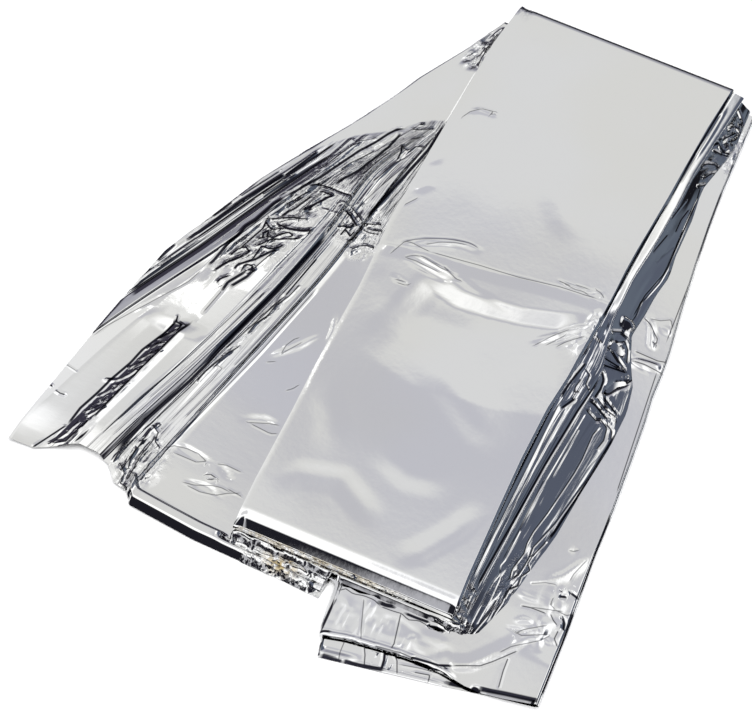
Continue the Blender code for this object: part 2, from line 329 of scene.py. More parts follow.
FAN_LINES = (
    FanLine("rim ridge", -38.4, -49.5, -60.6, -72.3, -89.2, -115, ((0, 1.6),), 3),
    FanLine("rim groove", -36.9, -46.4, -57.6, -70.2, -87.4, -113.5, ((0, 1.2),), 3),
    FanLine("outer ridge", -36.5, -45.8, -56.9, -69.5, -86.6, -112.7, ((0, 1.8),), 2),
    FanLine("outer groove", -35.6, -44.3, -55.5, -66.2, -83.5, -109.4, ((0, 1.25),), 5),
    FanLine("long ridge", -35, -43.5, -54.6, -65.1, -82.4, -108.2, ((0, 1.9), (100, 2)), 2),
    FanLine("long groove", -33.1, -41, -51.5, -62.1, -80.1, -105.9, ((0, 1.4),), 4),
    FanLine("panel rise", -32.4, -40.2, -50.6, -61.2, -79.1, -104.9, ((60, 2), (100, 2.2)), 2),
    FanLine("panel crest", -27.2, -36.2, -45.6, -55.6, -74.2, -99, ((60, 2.8), (100, 3.3), (150, 3)), 9),
    FanLine("panel drop", -26.6, -35.5, -44.9, -54.9, -73.6, -98.4, ((60, 2.3), (100, 2.8), (150, 2.4)), 3),
    FanLine("panel bend", -23, -34.4, -44.2, -53.8, -67.6, -85.6,
            ((0, 2), (56, 2.45), (62, 2.2), (90, 2.25), (100, 2.6), (125, 2.3)), 5),
    FanLine("panel edge", -19.8, -33.2, -43.6, -52.6, -63, -78,
            ((0, 1.2), (56, 1.6), (61, 2.1), (66, 2.2), (90, 2.2), (100, 2.4), (125, 2.1)), 5),
    FanLine("facet foot", -16, -31, -41.4, -50.5, -57.6, -72.6,
            ((0, 0.8), (56, 0.9), (61, 2.1), (66, 2.2), (90, 2.2), (98, 2.05), (125, 1.6)), 6),
    FanLine("facet crest", -14, -28.6, -37, -44.5, -52.3, -66,
            ((0, 3.9), (56, 4.2), (62, 2.4), (66, 2.2), (90, 2.2), (98, 2.6), (125, 2.7), (180, 1.6)), 12),
    FanLine("facet fall", -13.6, -28, -35.6, -42.6, -50, -63.4,
            ((0, 3.3), (56, 3.6), (62, 2.3), (66, 2.2), (90, 2.15), (98, 2.4), (125, 2.4), (180, 1.4)), 4),
    FanLine("strip end", -12.5, -25.8, -28.9, -34.3, -43.2, -60.4,
            ((0, 3.1), (60, 2.6), (84, 2.2), (125, 2.6), (180, 1.6)), 9),
    FanLine("grey foot", -12.3, -25.4, -28.5, -33.8, -42.7, -59.8,
            ((0, 2.8), (60, 2.3), (84, 2), (125, 2.3)), 2),
    FanLine("grey crest", -11.9, -24.4, -27.4, -31.8, -40.6, -57.6, ((0, 3), (60, 2.5), (125, 2.5)), 4),
    FanLine("grey fall", -11.7, -24.1, -27, -31.4, -40.2, -57.1, ((0, 2.95), (60, 2.45), (125, 2.45)), 2),
    FanLine("black crest", -11.2, -23, -25.4, -28.9, -38.2, -54.8, ((0, 3.3), (60, 2.85), (125, 2.9)), 5),
    FanLine("black foot", -10.5, -21.8, -24, -27.3, -36.5, -52.6, ((0, 1.2), (60, 1.4), (125, 1.4)), 5),
    FanLine("inner crest", -10.1, -20.6, -22.8, -26.4, -35.2, -50, ((0, 1.7), (60, 1.9), (125, 1.9)), 3),
    FanLine("inner drop", -9.9, -20, -22.3, -26, -34.8, -49.3, ((0, 1.45),), 2),
    FanLine("inner ridge", -9.6, -18.5, -21, -25.1, -33.3, -46, ((0, 1.7),), 5),
    FanLine("inner foot", -8.9, -17.4, -20.2, -24.4, -31.9, -44.2, ((0, 1.45),), 4),
    FanLine("border ridge", -8.2, -13, -15.6, -18.9, -26.6, -38.1, ((0, 1.95),), 10),
    FanLine("border foot", -7.5, -12.2, -14.9, -18.2, -25.9, -37.2, ((0, 0.95),), 3),
    FanLine("border end", -6.9, -10.4, -12.6, -15.8, -23.4, -34.4, ((0, 0.6),), 4),
)


@dataclass(frozen=True)
class StreakZone:
    """Part of the fan with fine pleats; across is measured as on the line Y 100."""

    across: tuple
    along: tuple
    strength: float  # of the pleats in the mesh
    fine: float  # of the finest ones, in the material
    soft: float = 12.0


STREAK_ZONES = (
    StreakZone((-80, -62.1), (30, 200), 0.25, 0.2),
    StreakZone((-63.6, -55.4), (122, 200), 0.4, 0.3),
    StreakZone((-61, -55.4), (-20, 122), 0.03, 0),
    StreakZone((-55.4, -49), (82, 200), 0.4, 0.3),
    StreakZone((-50, -33), (96, 200), 0.4, 0.3, 6),
    StreakZone((-33, 0), (121, 200), 0.35, 0.4, 6),
    StreakZone((-34, -29.2), (-20, 121), 0.05, 0.15),
    StreakZone((-29.2, -26.5), (-20, 121), 0, 0.1),
    StreakZone((-27, -18.2), (-20, 121), 0.10, 0.25),
    StreakZone((-34, -17.6), (-20, 24), 0.25, 0.5),
)


# -------------------- creases and crumples


class CreaseForm(Enum):
    """How a crease's cross-section runs down from its line."""

    SOFT = "rounded trough or ridge"
    SHARP = "straight sides"
    LEAF = "straight sides that narrow to both ends"


def beside(path: tuple, x: Grid, y: Grid) -> tuple:
    """Where points lie beside a path.

    Args:
        path: the path's points.
        x: X of the points.
        y: Y of the points.

    Returns:
        Distance to the path, share of its length, and a number above 0 to its left.
    """
    points = np.asarray(path, float)
    lengths = np.hypot(*np.diff(points, axis=0).T)
    total, start = lengths.sum(), 0.0
    nearest = np.full(np.shape(x), np.inf)
    along = np.zeros(np.shape(x))
    side = np.zeros(np.shape(x))
    for (px, py), (qx, qy), length in zip(points[:-1], points[1:], lengths):
        dx, dy = (qx - px) / length, (qy - py) / length
        run = np.clip((x - px) * dx + (y - py) * dy, 0.0, length)
        away = np.hypot(x - px - run * dx, y - py - run * dy)
        closer = away < nearest
        nearest = np.where(closer, away, nearest)
        along = np.where(closer, (start + run) / total, along)
        side = np.where(closer, dx * (y - py) - dy * (x - px), side)
        start += length
    return nearest, along, side


@dataclass(frozen=True)
class Crease:
    """A ridge (height above 0) or a trough (below 0) along a line on one pass of film."""

    path: tuple
    height: float
    left: float
    right: float
    form: CreaseForm = CreaseForm.SHARP
    fade: float = 0.25

    def height_at(self, x: Grid, y: Grid) -> Grid:
        """Height of the crease over points of the film.

        Args:
            x: X of the points.
            y: Y of the points.

        Returns:
            The height that the crease adds at each.
        """
        nearest, along, side = beside(self.path, x, y)
        ends = soft_step(np.minimum(along, 1.0 - along), 0.0, self.fade)
        reach = np.where(side > 0.0, self.left, self.right)
        if self.form is CreaseForm.LEAF:
            reach = reach * np.maximum(ends, 0.05)
        share = np.clip(1.0 - nearest / reach, 0.0, 1.0)
        if self.form is CreaseForm.SOFT:
            share = share * share * (3.0 - 2.0 * share)
        return self.height * share * ends


@dataclass(frozen=True)
class Crumple:
    """A patch of hand-crumpled film: an oval with facets of one size, longer one way."""

    x: float
    y: float
    half_x: float
    half_y: float
    size: float
    height: float
    turn: float = 0.0
    stretch: float = 1.0
    seed: int = 1
    facets: float = 0.35  # share of the finest facets, in the material

    def weight(self, x: Grid, y: Grid) -> Grid:
        """1 in the middle of the patch and 0 past its rim."""
        across, along = self.own_axes(x, y)
        return 1.0 - soft_step(np.hypot(across / self.half_x, along / self.half_y), 0.55, 1.0)

    def own_axes(self, x: Grid, y: Grid) -> tuple:
        """Put points in the patch's own turned axes.

        Args:
            x: X of the points.
            y: Y of the points.

        Returns:
            Each point's place across and along the patch, from its middle.
        """
        turn = radians(self.turn)
        across = (x - self.x) * cos(turn) + (y - self.y) * sin(turn)
        along = (y - self.y) * cos(turn) - (x - self.x) * sin(turn)
        return across, along

    def height_at(self, x: Grid, y: Grid) -> Grid:
        """Height that the patch adds at each point."""
        across, along = self.own_axes(x, y)
        return self.height * crumple(across, along / self.stretch, self.size, self.seed) * self.weight(x, y)


@dataclass(frozen=True)
class Stroke:
    """How a fold line looks."""

    width: float  # of the dark line
    tone: float  # its painted darkness, a painted dark reflection, from 0 to 1
    slope: float  # of the film beside it, above 0 for a ridge
    reach: float  # width of the slope on each side
    fade: tuple = (0.4, 1.2)  # how far past the slope the line fades out


@dataclass(frozen=True)
class Mark:
    """A hard fold line: painted dark along the fold, a painted dark reflection, with a narrow flat slope on
    each side of it that is real bump.
    """

    stroke: Stroke
    path: tuple
    fade: float = 0.05

    def read(self, x: Grid, y: Grid) -> tuple:
        """Where points lie beside the line.

        Args:
            x: X of the points.
            y: Y of the points.

        Returns:
            Distance to the side, plain distance, darkness, half width, slope and reach.
        """
        nearest, along, side = beside(self.path, x, y)
        ends = soft_step(np.minimum(along, 1.0 - along), 0.0, self.fade)
        half = 0.5 * self.stroke.width * mix(0.5, 1.0, ends)
        reach = np.full(np.shape(x), self.stroke.reach)
        signed = np.where(side < 0.0, -1.0, 1.0) * nearest
        ends = ends * (1.0 - soft_step(nearest, *(self.stroke.reach + past for past in self.stroke.fade)))
        return signed, nearest, self.stroke.tone * ends, half, self.stroke.slope * ends, reach

    def gap(self, other: "Mark") -> float:
        """Least distance from this line's points to another line."""
        spots = np.array(self.path, float)
        return float(beside(other.path, spots[:, 0], spots[:, 1])[0].min())


def seen(level: float, *rows: tuple) -> tuple:
    """Fold lines on film at a height, each given by its stroke and then its picture points."""
    return tuple(Mark(stroke, SIGHT.land(points, level)) for stroke, *points in rows)


BROAD_BAND = Stroke(1.6, 1.0, 0.12, 1.4)
BROAD_VALLEY = Stroke(1.7, 1.0, -0.12, 2.4)
BAND = Stroke(1.2, 1.0, 0.12, 1.2)
VALLEY = Stroke(1.1, 1.0, -0.14, 1.5)
BOLD = Stroke(0.9, 1.0, 0.2, 1.3)
FOLD = Stroke(0.7, 1.0, 0.2, 1.2)
LINE = Stroke(0.5, 0.9, 0.17, 1.2)
SOFT_LINE = Stroke(0.4, 0.7, 0.1, 1.2)
HAIR = Stroke(0.3, 0.6, 0.1, 0.8)
GLINT = Stroke(0.35, 0.35, 0.23, 0.8)
TANGLE = Stroke(0.5, 0.9, 0.27, 1.1)
BOLD_TANGLE = Stroke(0.9, 1.0, 0.28, 1.4)
SHARP_VALLEY = Stroke(0.8, 1.0, -0.2, 1.2)
FAINT = Stroke(0.4, 0.6, 0.03, 1.0)
CURL = Stroke(0.45, 0.8, 0.05, 1.0)
RIB = Stroke(0.45, 0.9, 0.22, 0.55)
SHEEN = Stroke(0.15, 0.3, 0.2, 0.45)
# strokes with no slope draw only a painted dark line: painted shade along rims and edges
RIM = Stroke(1.0, 1.0, 0.0, 0.5)
BROAD_RIM = Stroke(1.5, 1.0, 0.0, 0.7)
WIDE_RIM = Stroke(2.5, 1.0, 0.0, 0.7)
ZIG = Stroke(1.05, 1.0, 0.26, 1.5)
THIN_ZIG = Stroke(0.7, 1.0, 0.26, 1.3)
FACET_FOLD = Stroke(0.35, 0.5, 0.42, 1.1)
THIN_RIM = Stroke(0.4, 0.8, 0.0, 0.5)


MARK_SETS = 6  # sets of marks that may lie close to each other
MARK_GAP = 3.6  # lines in one set lie further apart than this
LONG_WAY = 99.0  # more than any two close lines are apart
NO_MARK = (8.0, 4.0, 0.0, 1.0, 0.0, 1.0)  # what a set says where it has no line near


def mark_channels(marks: Iterable[Mark], x: Grid, y: Grid) -> Grid:
    """Place of each point beside the nearest marks.

    Lines that run close together or cross go to different sets, so that each set's distances
    run evenly from one line's side to the other.

    Args:
        marks: the marks of one pass of film.
        x: X of the points.
        y: Y of the points.

    Returns:
        Six numbers a set, as a mark reads them.
    """
    sets = [[] for _ in range(MARK_SETS)]
    for mark in marks:
        gaps = [min([LONG_WAY] + [min(mark.gap(other), other.gap(mark)) for other in entry])
                for entry in sets]
        free = [entry for entry, gap in zip(sets, gaps) if gap > MARK_GAP]
        (free[0] if free else sets[int(np.argmax(gaps))]).append(mark)
    channels = []
    for entry in sets:
        kept = [np.full(x.shape, value) for value in NO_MARK]
        for mark in entry:
            own = mark.read(x, y)
            closer = own[1] < kept[1]
            kept = [np.where(closer, value, before) for value, before in zip(own, kept)]
        channels += kept
    return np.stack(channels, axis=-1)


Detail = Union[Crease, Crumple, "Star"]


def crumple_share(details: Iterable[Detail], x: Grid, y: Grid) -> Grid:
    """How crumpled the film is.

    Args:
        details: the creases, crumples and star of one pass.
        x: X of the points.
        y: Y of the points.

    Returns:
        A share from 0 to 1 for each point.
    """
    total = np.zeros(x.shape)
    for detail in details:
        if not isinstance(detail, Crease):
            total = np.maximum(total, detail.weight(x, y) * detail.facets)
    return total


def detail_height(details: Iterable[Detail], x: Grid, y: Grid) -> Grid:
    """Height of all the details of one pass.

    Args:
        details: the pass's creases, crumples and star.
        x: X of the points.
        y: Y of the points.

    Returns:
        The height that they add at each point.
    """
    total = np.zeros(x.shape)
    for detail in details:
        total += detail.height_at(x, y)
    return total


# -------------------- the wing


@dataclass(frozen=True)
class Wing:
    """The pleated wing: fold lines that fan out below an arc, and a flat panel above it."""

    panel: float = 0.8  # height of the flat panel
    tip: float = 0.4  # and of the far tip
    tip_start: float = 205.0
    tip_end: float = 238.0
    arc: tuple = ((-56, 146), (-45, 154), (-36, 163.5), (-25, 172), (-16, 181), (-6, 187))
    arc_soft: float = 1.6
    rise: float = 26.0  # the pleats reach their full height this far below the arc
    even_start: float = 176.0  # past the pleats the columns become evenly spaced
    even_end: float = 200.0
    strip_gap: float = 2.5  # the film lies flat this close to the strip
    tuck_x: float = 8.0  # last column, under the strip
    flat_steps: int = 22
    tuck_steps: int = 3
    middle: float = 100.0  # the line that places across the fan are measured on
    streak_width: float = 1.6
    streak_length: float = 24.0
    streak_height: float = 0.4
    fine_height: float = 0.45  # the finer noise's share of the broad one's height
    zone_soft: float = 0.5
    wander: tuple = (0.5, 6.0, 14.0)  # how far streaks wander, and over what width and length
    marble_across: tuple = (-53.0, -28.0)  # where the finest pleats wander more
    marble_along: tuple = (84.0, 150.0)
    marble_soft: tuple = (2.0, 7.0)
    marble_wave: float = 2.6
    marble_sizes: tuple = (4.2, 1.9)
    near_share: float = 0.6  # the pleats' share of their height at the near end
    near_calm: tuple = (-6.0, 12.0)  # and where they come to all of it
    strip_soft: tuple = (0.2, 3.0)  # how the film comes down beside the strip
    rise_power: float = 0.7
    far_streaks: float = 0.55  # the streaks' share next to the arc

    def places(self, y: Grid) -> Grid:
        """X of every column at every row.

        Args:
            y: the rows' places along the strip.

        Returns:
            One row of places for each column, from the wing's outer edge inwards.
        """
        edge = edge_x(Edge.WING, y)
        lines = [np.maximum(line.x(y), edge) for line in FAN_LINES]
        margin = edge_x(Edge.LEFT, y) - 0.5 * self.strip_gap
        knots = [edge] + lines + [np.maximum(margin, edge), np.full_like(y, self.tuck_x)]
        steps = [line.steps for line in FAN_LINES] + [self.flat_steps, self.tuck_steps]
        columns = []
        for low, high, count in zip(knots[:-1], knots[1:], steps):
            columns += [mix(low, high, step / count) for step in range(count)]
        columns.append(knots[-1])
        places = np.array(columns)
        even = mix(edge, self.tuck_x, np.linspace(0.0, 1.0, len(columns))[:, None])
        return mix(places, even, soft_step(y, self.even_start, self.even_end))

    def across(self, x: Grid, y: Grid) -> Grid:
        """Place across the fan: the X that the same pleat has on the middle line.

        Args:
            x: X of the points.
            y: Y of the points.

        Returns:
            The place of each point.
        """
        places = [line.x(y) for line in FAN_LINES] + [edge_x(Edge.LEFT, y)]
        level = [float(line.y100) for line in FAN_LINES] + [float(edge_x(Edge.LEFT, self.middle))]
        total = level[0] + (x - places[0])
        for low, high, start, end in zip(places[:-1], places[1:], level[:-1], level[1:]):
            share = (x - low) / np.maximum(high - low, LEAST_WIDTH)
            total = np.where(x > low, mix(start, end, np.minimum(share, 1.0)), total)
        return total

    def pleats(self, x: Grid, y: Grid) -> Grid:
        """Height of the pleats: straight facets from one fold line to the next.

        Args:
            x: X of the points.
            y: Y of the points.

        Returns:
            The height of each point.
        """
        places = [line.x(y) for line in FAN_LINES] + [edge_x(Edge.LEFT, y) - self.strip_gap]
        heights = [line.height(y) for line in FAN_LINES] + [np.zeros_like(y)]
        total = np.where(x <= places[0], heights[0], 0.0)
        for index in range(len(places) - 1):
            width = np.maximum(places[index + 1] - places[index], LEAST_WIDTH)
            share = (x - places[index]) / width
            inside = (share > 0.0) & (share <= 1.0)
            total = np.where(inside, mix(heights[index], heights[index + 1], share), total)
        return total

    def below_arc(self, x: Grid, y: Grid) -> Grid:
        """Distance below the arc."""
        bends = np.asarray(self.arc, float)
        return read_curve(bends[:, 0], bends[:, 1], x) - y

    def in_zones(self, across: Grid, y: Grid, part: str) -> Grid:
        """How strong one kind of pleats is.

        Args:
            across: place of the points across the fan.
            y: Y of the points.
            part: the name of the zones' field to use.

        Returns:
            The strength at each point.
        """
        weight = np.zeros(across.shape)
        for zone in STREAK_ZONES:
            inside = window(across, *zone.across, self.zone_soft) * window(y, *zone.along, 0.5 * zone.soft)
            weight = np.maximum(weight, getattr(zone, part) * inside)
        return weight

    def streaks(self, x: Grid, y: Grid) -> Grid:
        """Fine pleats that run with the fan.

        Args:
            x: X of the points.
            y: Y of the points.

        Returns:
            The height that they add at each point.
        """
        across = self.across(x, y)
        weight = self.in_zones(across, y, "strength")
        far, width, length = self.wander
        bent = across + far * drift(across / width, y / length, seed=31)
        broad = facets(bent / self.streak_width, y / self.streak_length, seed=5)
        fine = facets(bent / (0.5 * self.streak_width), y / (0.5 * self.streak_length), seed=9)
        return self.streak_height * (broad + self.fine_height * fine) * weight

    def streak_channels(self, x: Grid, y: Grid) -> Grid:
        """What the material reads to draw the finest pleats.

        Args:
            x: X of the points.
            y: Y of the points.

        Returns:
            Place across and along the fan, and how strong the pleats are.
        """
        across = self.across(x, y)
        weight = self.in_zones(across, y, "fine")
        soft_across, soft_along = self.marble_soft
        wave = self.marble_wave * window(across, *self.marble_across, soft_across)
        wave = wave * window(y, *self.marble_along, soft_along)
        broad, small = self.marble_sizes
        across = across + wave * (drift(x / broad, y / broad, seed=41)
                                  + self.fine_height * drift(x / small, y / small, seed=42))
        weight = weight * soft_step(self.below_arc(x, y), 0.0, self.arc_soft)
        weight = weight * soft_step(edge_x(Edge.LEFT, y) - x, -self.zone_soft, self.zone_soft)
        return np.stack([across, y, weight], axis=-1)

    def height(self, x: Grid, y: Grid) -> Grid:
        """Height of the wing over the surface that it lies on.

        Args:
            x: X of the points.
            y: Y of the points.

        Returns:
            The height of each point.
        """
        inside = soft_step(edge_x(Edge.LEFT, y) - x, *self.strip_soft)
        panel = mix(self.panel, self.tip, soft_step(y, self.tip_start, self.tip_end)) * inside
        calm = mix(self.near_share, 1.0, soft_step(y, *self.near_calm))
        below = self.below_arc(x, y)
        rise = np.clip(below / self.rise, 0.0, 1.0) ** self.rise_power
        pleats = mix(panel, self.pleats(x, y) * calm, rise)
        streaks = self.streaks(x, y) * inside * calm * mix(self.far_streaks, 1.0, rise)
        return mix(panel, pleats + streaks, soft_step(below, 0.0, self.arc_soft))


@dataclass(frozen=True)
class Star:
    """Creases that run out from one point."""

    x: float
    y: float
    reach_x: float
    reach_y: float
    height: float
    spokes: int = 15
    seed: int = 3
    facets: float = 0.3  # share of the finest facets, in the material
    solid: float = 0.5  # full height up to this share of the reach
    rings: float = 2.5  # how often a spoke's height changes along the reach
    bend: float = 0.35  # how far the spokes bend, in spokes
    bends: float = 3.0  # and how often along the reach
    core: float = 4.0  # how sharply the spokes rise out of the middle

    def weight(self, x: Grid, y: Grid) -> Grid:
        """1 in the middle of the star and 0 past its reach."""
        away = np.hypot((x - self.x) / self.reach_x, (y - self.y) / self.reach_y)
        return 1.0 - soft_step(away, self.solid, 1.0)

    def height_at(self, x: Grid, y: Grid) -> Grid:
        """Height of the star over points of the film.

        Args:
            x: X of the points.
            y: Y of the points.

        Returns:
            The height that the star adds at each.
        """
        across, along = (x - self.x) / self.reach_x, (y - self.y) / self.reach_y
        reach = np.hypot(across, along)
        turn = (np.arctan2(along, across) / (2 * pi) + 0.5) * self.spokes
        turn = turn + self.bend * drift(reach * self.bends, turn, self.seed + 5)
        column = np.floor(turn)
        share = turn - column
        ring = np.floor(reach * self.rings)
        low = hashed(np.mod(column, self.spokes), ring, self.seed)
        high = hashed(np.mod(column + 1, self.spokes), ring, self.seed)
        next_low = hashed(np.mod(column, self.spokes), ring + 1, self.seed)
        next_high = hashed(np.mod(column + 1, self.spokes), ring + 1, self.seed)
        spokes = mix(mix(low, high, share), mix(next_low, next_high, share), reach * self.rings - ring)
        inside = 1.0 - soft_step(reach, self.solid, 1.0)
        return self.height * spokes * inside * np.minimum(reach * self.core, 1.0)


SOFT, SHARP, LEAF = CreaseForm.SOFT, CreaseForm.SHARP, CreaseForm.LEAF

WING_DETAILS = (
    # marbled crinkles between the panel and the star
    Crumple(-45, 106, 6.5, 27, 3.4, 0.75, turn=-27, stretch=2, seed=11, facets=0.08),
    Crumple(-38, 128, 9, 12, 2.8, 0.5, turn=-27, stretch=1.6, seed=14, facets=0.1),
    Crumple(-30, 150, 12, 24, 2.6, 0.3, turn=-27, stretch=3, seed=15, facets=0.1),
    # the dark facet's slanting wrinkles
    Crumple(-62.5, 26, 3.6, 34, 3.4, 0.24, turn=-15, stretch=0.7, seed=21, facets=0),
    Crumple(-68, 4, 5, 14, 2.4, 0.35, turn=-25, stretch=3, seed=22, facets=0),
    # the star and the loose crinkles by the strip
    Star(-17.5, 128, 13, 13, 0.55, facets=0.12),
    Crumple(-12, 122, 7, 10, 3.2, 0.35, seed=23, facets=0.1),
    Crumple(-40, 6, 10, 14, 2.6, 0.45, turn=-18, stretch=2.2, seed=26, facets=0.1),
    Crumple(-33.5, 62, 2.4, 40, 2.4, 0.2, turn=-17, stretch=2.6, seed=27, facets=0.05),
    # the far tip
    Crumple(-7.5, 224, 7, 15, 4.2, 1.7, turn=-20, seed=31, facets=0.1),
    Crumple(-1, 241, 4, 5, 2.4, 0.9, seed=32),
    # wrinkles on the flat panel
    Crease(((-23, 59), (-18, 65.5), (-12, 72), (-5, 84)), 0.30, 1.6, 0.6, LEAF, 0.4),
    Crease(((-19, 36.2), (-11, 40.4), (-2, 42)), -0.32, 0.5, 2, LEAF, 0.4),
    Crease(((-35, 16.5), (-29, 18.8), (-23, 18.2), (-17, 17.2)), -0.42, 0.5, 2.6, LEAF, 0.4),
    Crease(((-16, 19), (-11, 16), (-8.5, 12.5)), -0.25, 0.5, 1.6, LEAF, 0.4),
    Crease(((-24, 7), (-15, 9), (-8, 6)), -0.30, 0.5, 2.2, LEAF, 0.4),
    Crease(((-7, 92), (-4.5, 84), (-3.6, 76)), 0.2, 1.2, 1, SOFT, 0.4),
)


# -------------------- the passes


@dataclass(frozen=True)
class Lift:
    """A near edge that stands up off the surface."""

    x_from: float
    x_to: float
    reach: float
    height: float
    lip: float = 0.05
    peak: float = 0.3
    soft: float = 5.0
    hold: float = 0.0  # share of the reach that stays at full height past the crest
    straight: bool = False  # falls back to the surface in a straight slope

    def height_at(self, x: Grid, from_edge: Grid) -> Grid:
        """How far the film stands up.

        Args:
            x: X of the points.
            from_edge: how far back from the near edge each point lies.

        Returns:
            The height that the lift adds at each.
        """
        crest = self.peak * self.reach
        front = mix(self.lip, 1.0, np.clip(from_edge / crest, 0.0, 1.0))
        held = crest + self.hold * self.reach
        share = np.clip((from_edge - held) / (self.reach - held), 0.0, 1.0)
        back = 1.0 - share if self.straight else np.cos(0.5 * pi * share) ** 2
        left = soft_step(x, self.x_from, self.x_from + self.soft)
        right = soft_step(-x, -self.x_to, self.soft - self.x_to)
        return self.height * front * back * (left * right)


@dataclass(frozen=True)
class Bend:
    """How the near end of a pass turns down: where, and its slope along the film."""

    start: float  # from the strip's end line, less than 0 is nearer
    slopes: tuple  # (length of film past the start, degrees) pairs
    longest: float = 30.0
    step: float = 0.05

    def carry(self, y: Grid, z: Grid, start: Grid, proud: Grid) -> tuple:
        """Carry film around the bend.

        Args:
            y: place along the flat film.
            z: its height before the bend.
            start: where the bend starts.
            proud: how far each point stands off the film.

        Returns:
            Y and Z of the bent film.
        """
        past = np.maximum(start - y, 0.0)
        table = np.arange(0.0, self.longest, self.step)
        slopes = np.radians(np.interp(table, *zip(*self.slopes)))
        down = np.interp(past, table, np.cumsum(np.sin(slopes)) * self.step)
        out = np.interp(past, table, np.cumsum(np.cos(slopes)) * self.step)
        angle = np.interp(past, table, slopes)
        bent_y = np.where(past > 0.0, start - out, y) - proud * np.sin(angle)
        return bent_y, z - np.where(past > 0.0, down, 0.0) + proud * np.cos(angle)


@dataclass(frozen=True)
class Pass:
    """One pass of film across the pile."""

    level: int
    right: Edge
    near: tuple  # (x, the near end's place beyond the strip's end line) pairs
    far: float
    fine: tuple  # (x from, x to, column spacing) at the near end, left to right
    lifts: tuple = ()
    bend: Bend = None
    details: tuple = ()
    marks: tuple = ()
    streaks: float = 0.0  # how strong the finest pleats on the flank are
    hidden_from: float = 6.0  # past this the film is out of sight
    seen_from: Edge = None  # but for what lies to the right of this edge


ALL_SEEN = 1000.0  # a place past the strip's far end
STRIP_END = ((0.0, -0.5), (85.0, 3.0))  # the strip's end line, where the top pass rolls down


def strip_end(x: Number) -> Grid:
    """Y of the strip's end line."""
    (x0, y0), (x1, y1) = STRIP_END
    return y0 + (x - x0) * (y1 - y0) / (x1 - x0)


@dataclass(frozen=True)
class FlankRow:
    """Heights of the film on the strip's right flank at one place along it."""

    y: float
    middle_in: float  # the middle fold's film where it comes out from under the top one
    middle_out: float  # and at its own fold
    lower_in: float  # the lower fold's film where it comes out
    lower_out: float  # and at its own fold


FLANK_ROWS = (
    FlankRow(-12, 4.6, 4, 3.4, 1.9),
    FlankRow(0, 6, 4.6, 4, 2.1),
    FlankRow(18, 7.9, 6, 5.4, 2.2),
    FlankRow(45, 8.2, 6.2, 5.6, 2.2),
    FlankRow(85, 8.2, 6.1, 5.5, 2.2),
    FlankRow(100, 8.1, 6, 5.4, 2.2),
    FlankRow(115, 7.7, 6, 5.5, 2.2),
    FlankRow(126, 7.8, 6.3, 5.8, 2.3),
    FlankRow(134, 7.9, 7.6, 6.7, 2.4),
    FlankRow(150, 8, 7.8, 6.9, 2.3),
    FlankRow(186, 8, 7.7, 6.8, 2.3),
    FlankRow(205, 8, 7.5, 6.2, 2.3),
    FlankRow(246, 8.2, 7.4, 5.4, 2.3),
)


TOP_LEVEL = 7  # the top pass's place in the pile, with 0 at the bottom
MIDDLE_LEVELS = (4, 5)  # the two passes of the middle fold
LOWER_LEVELS = (2, 3)  # and of the lower one


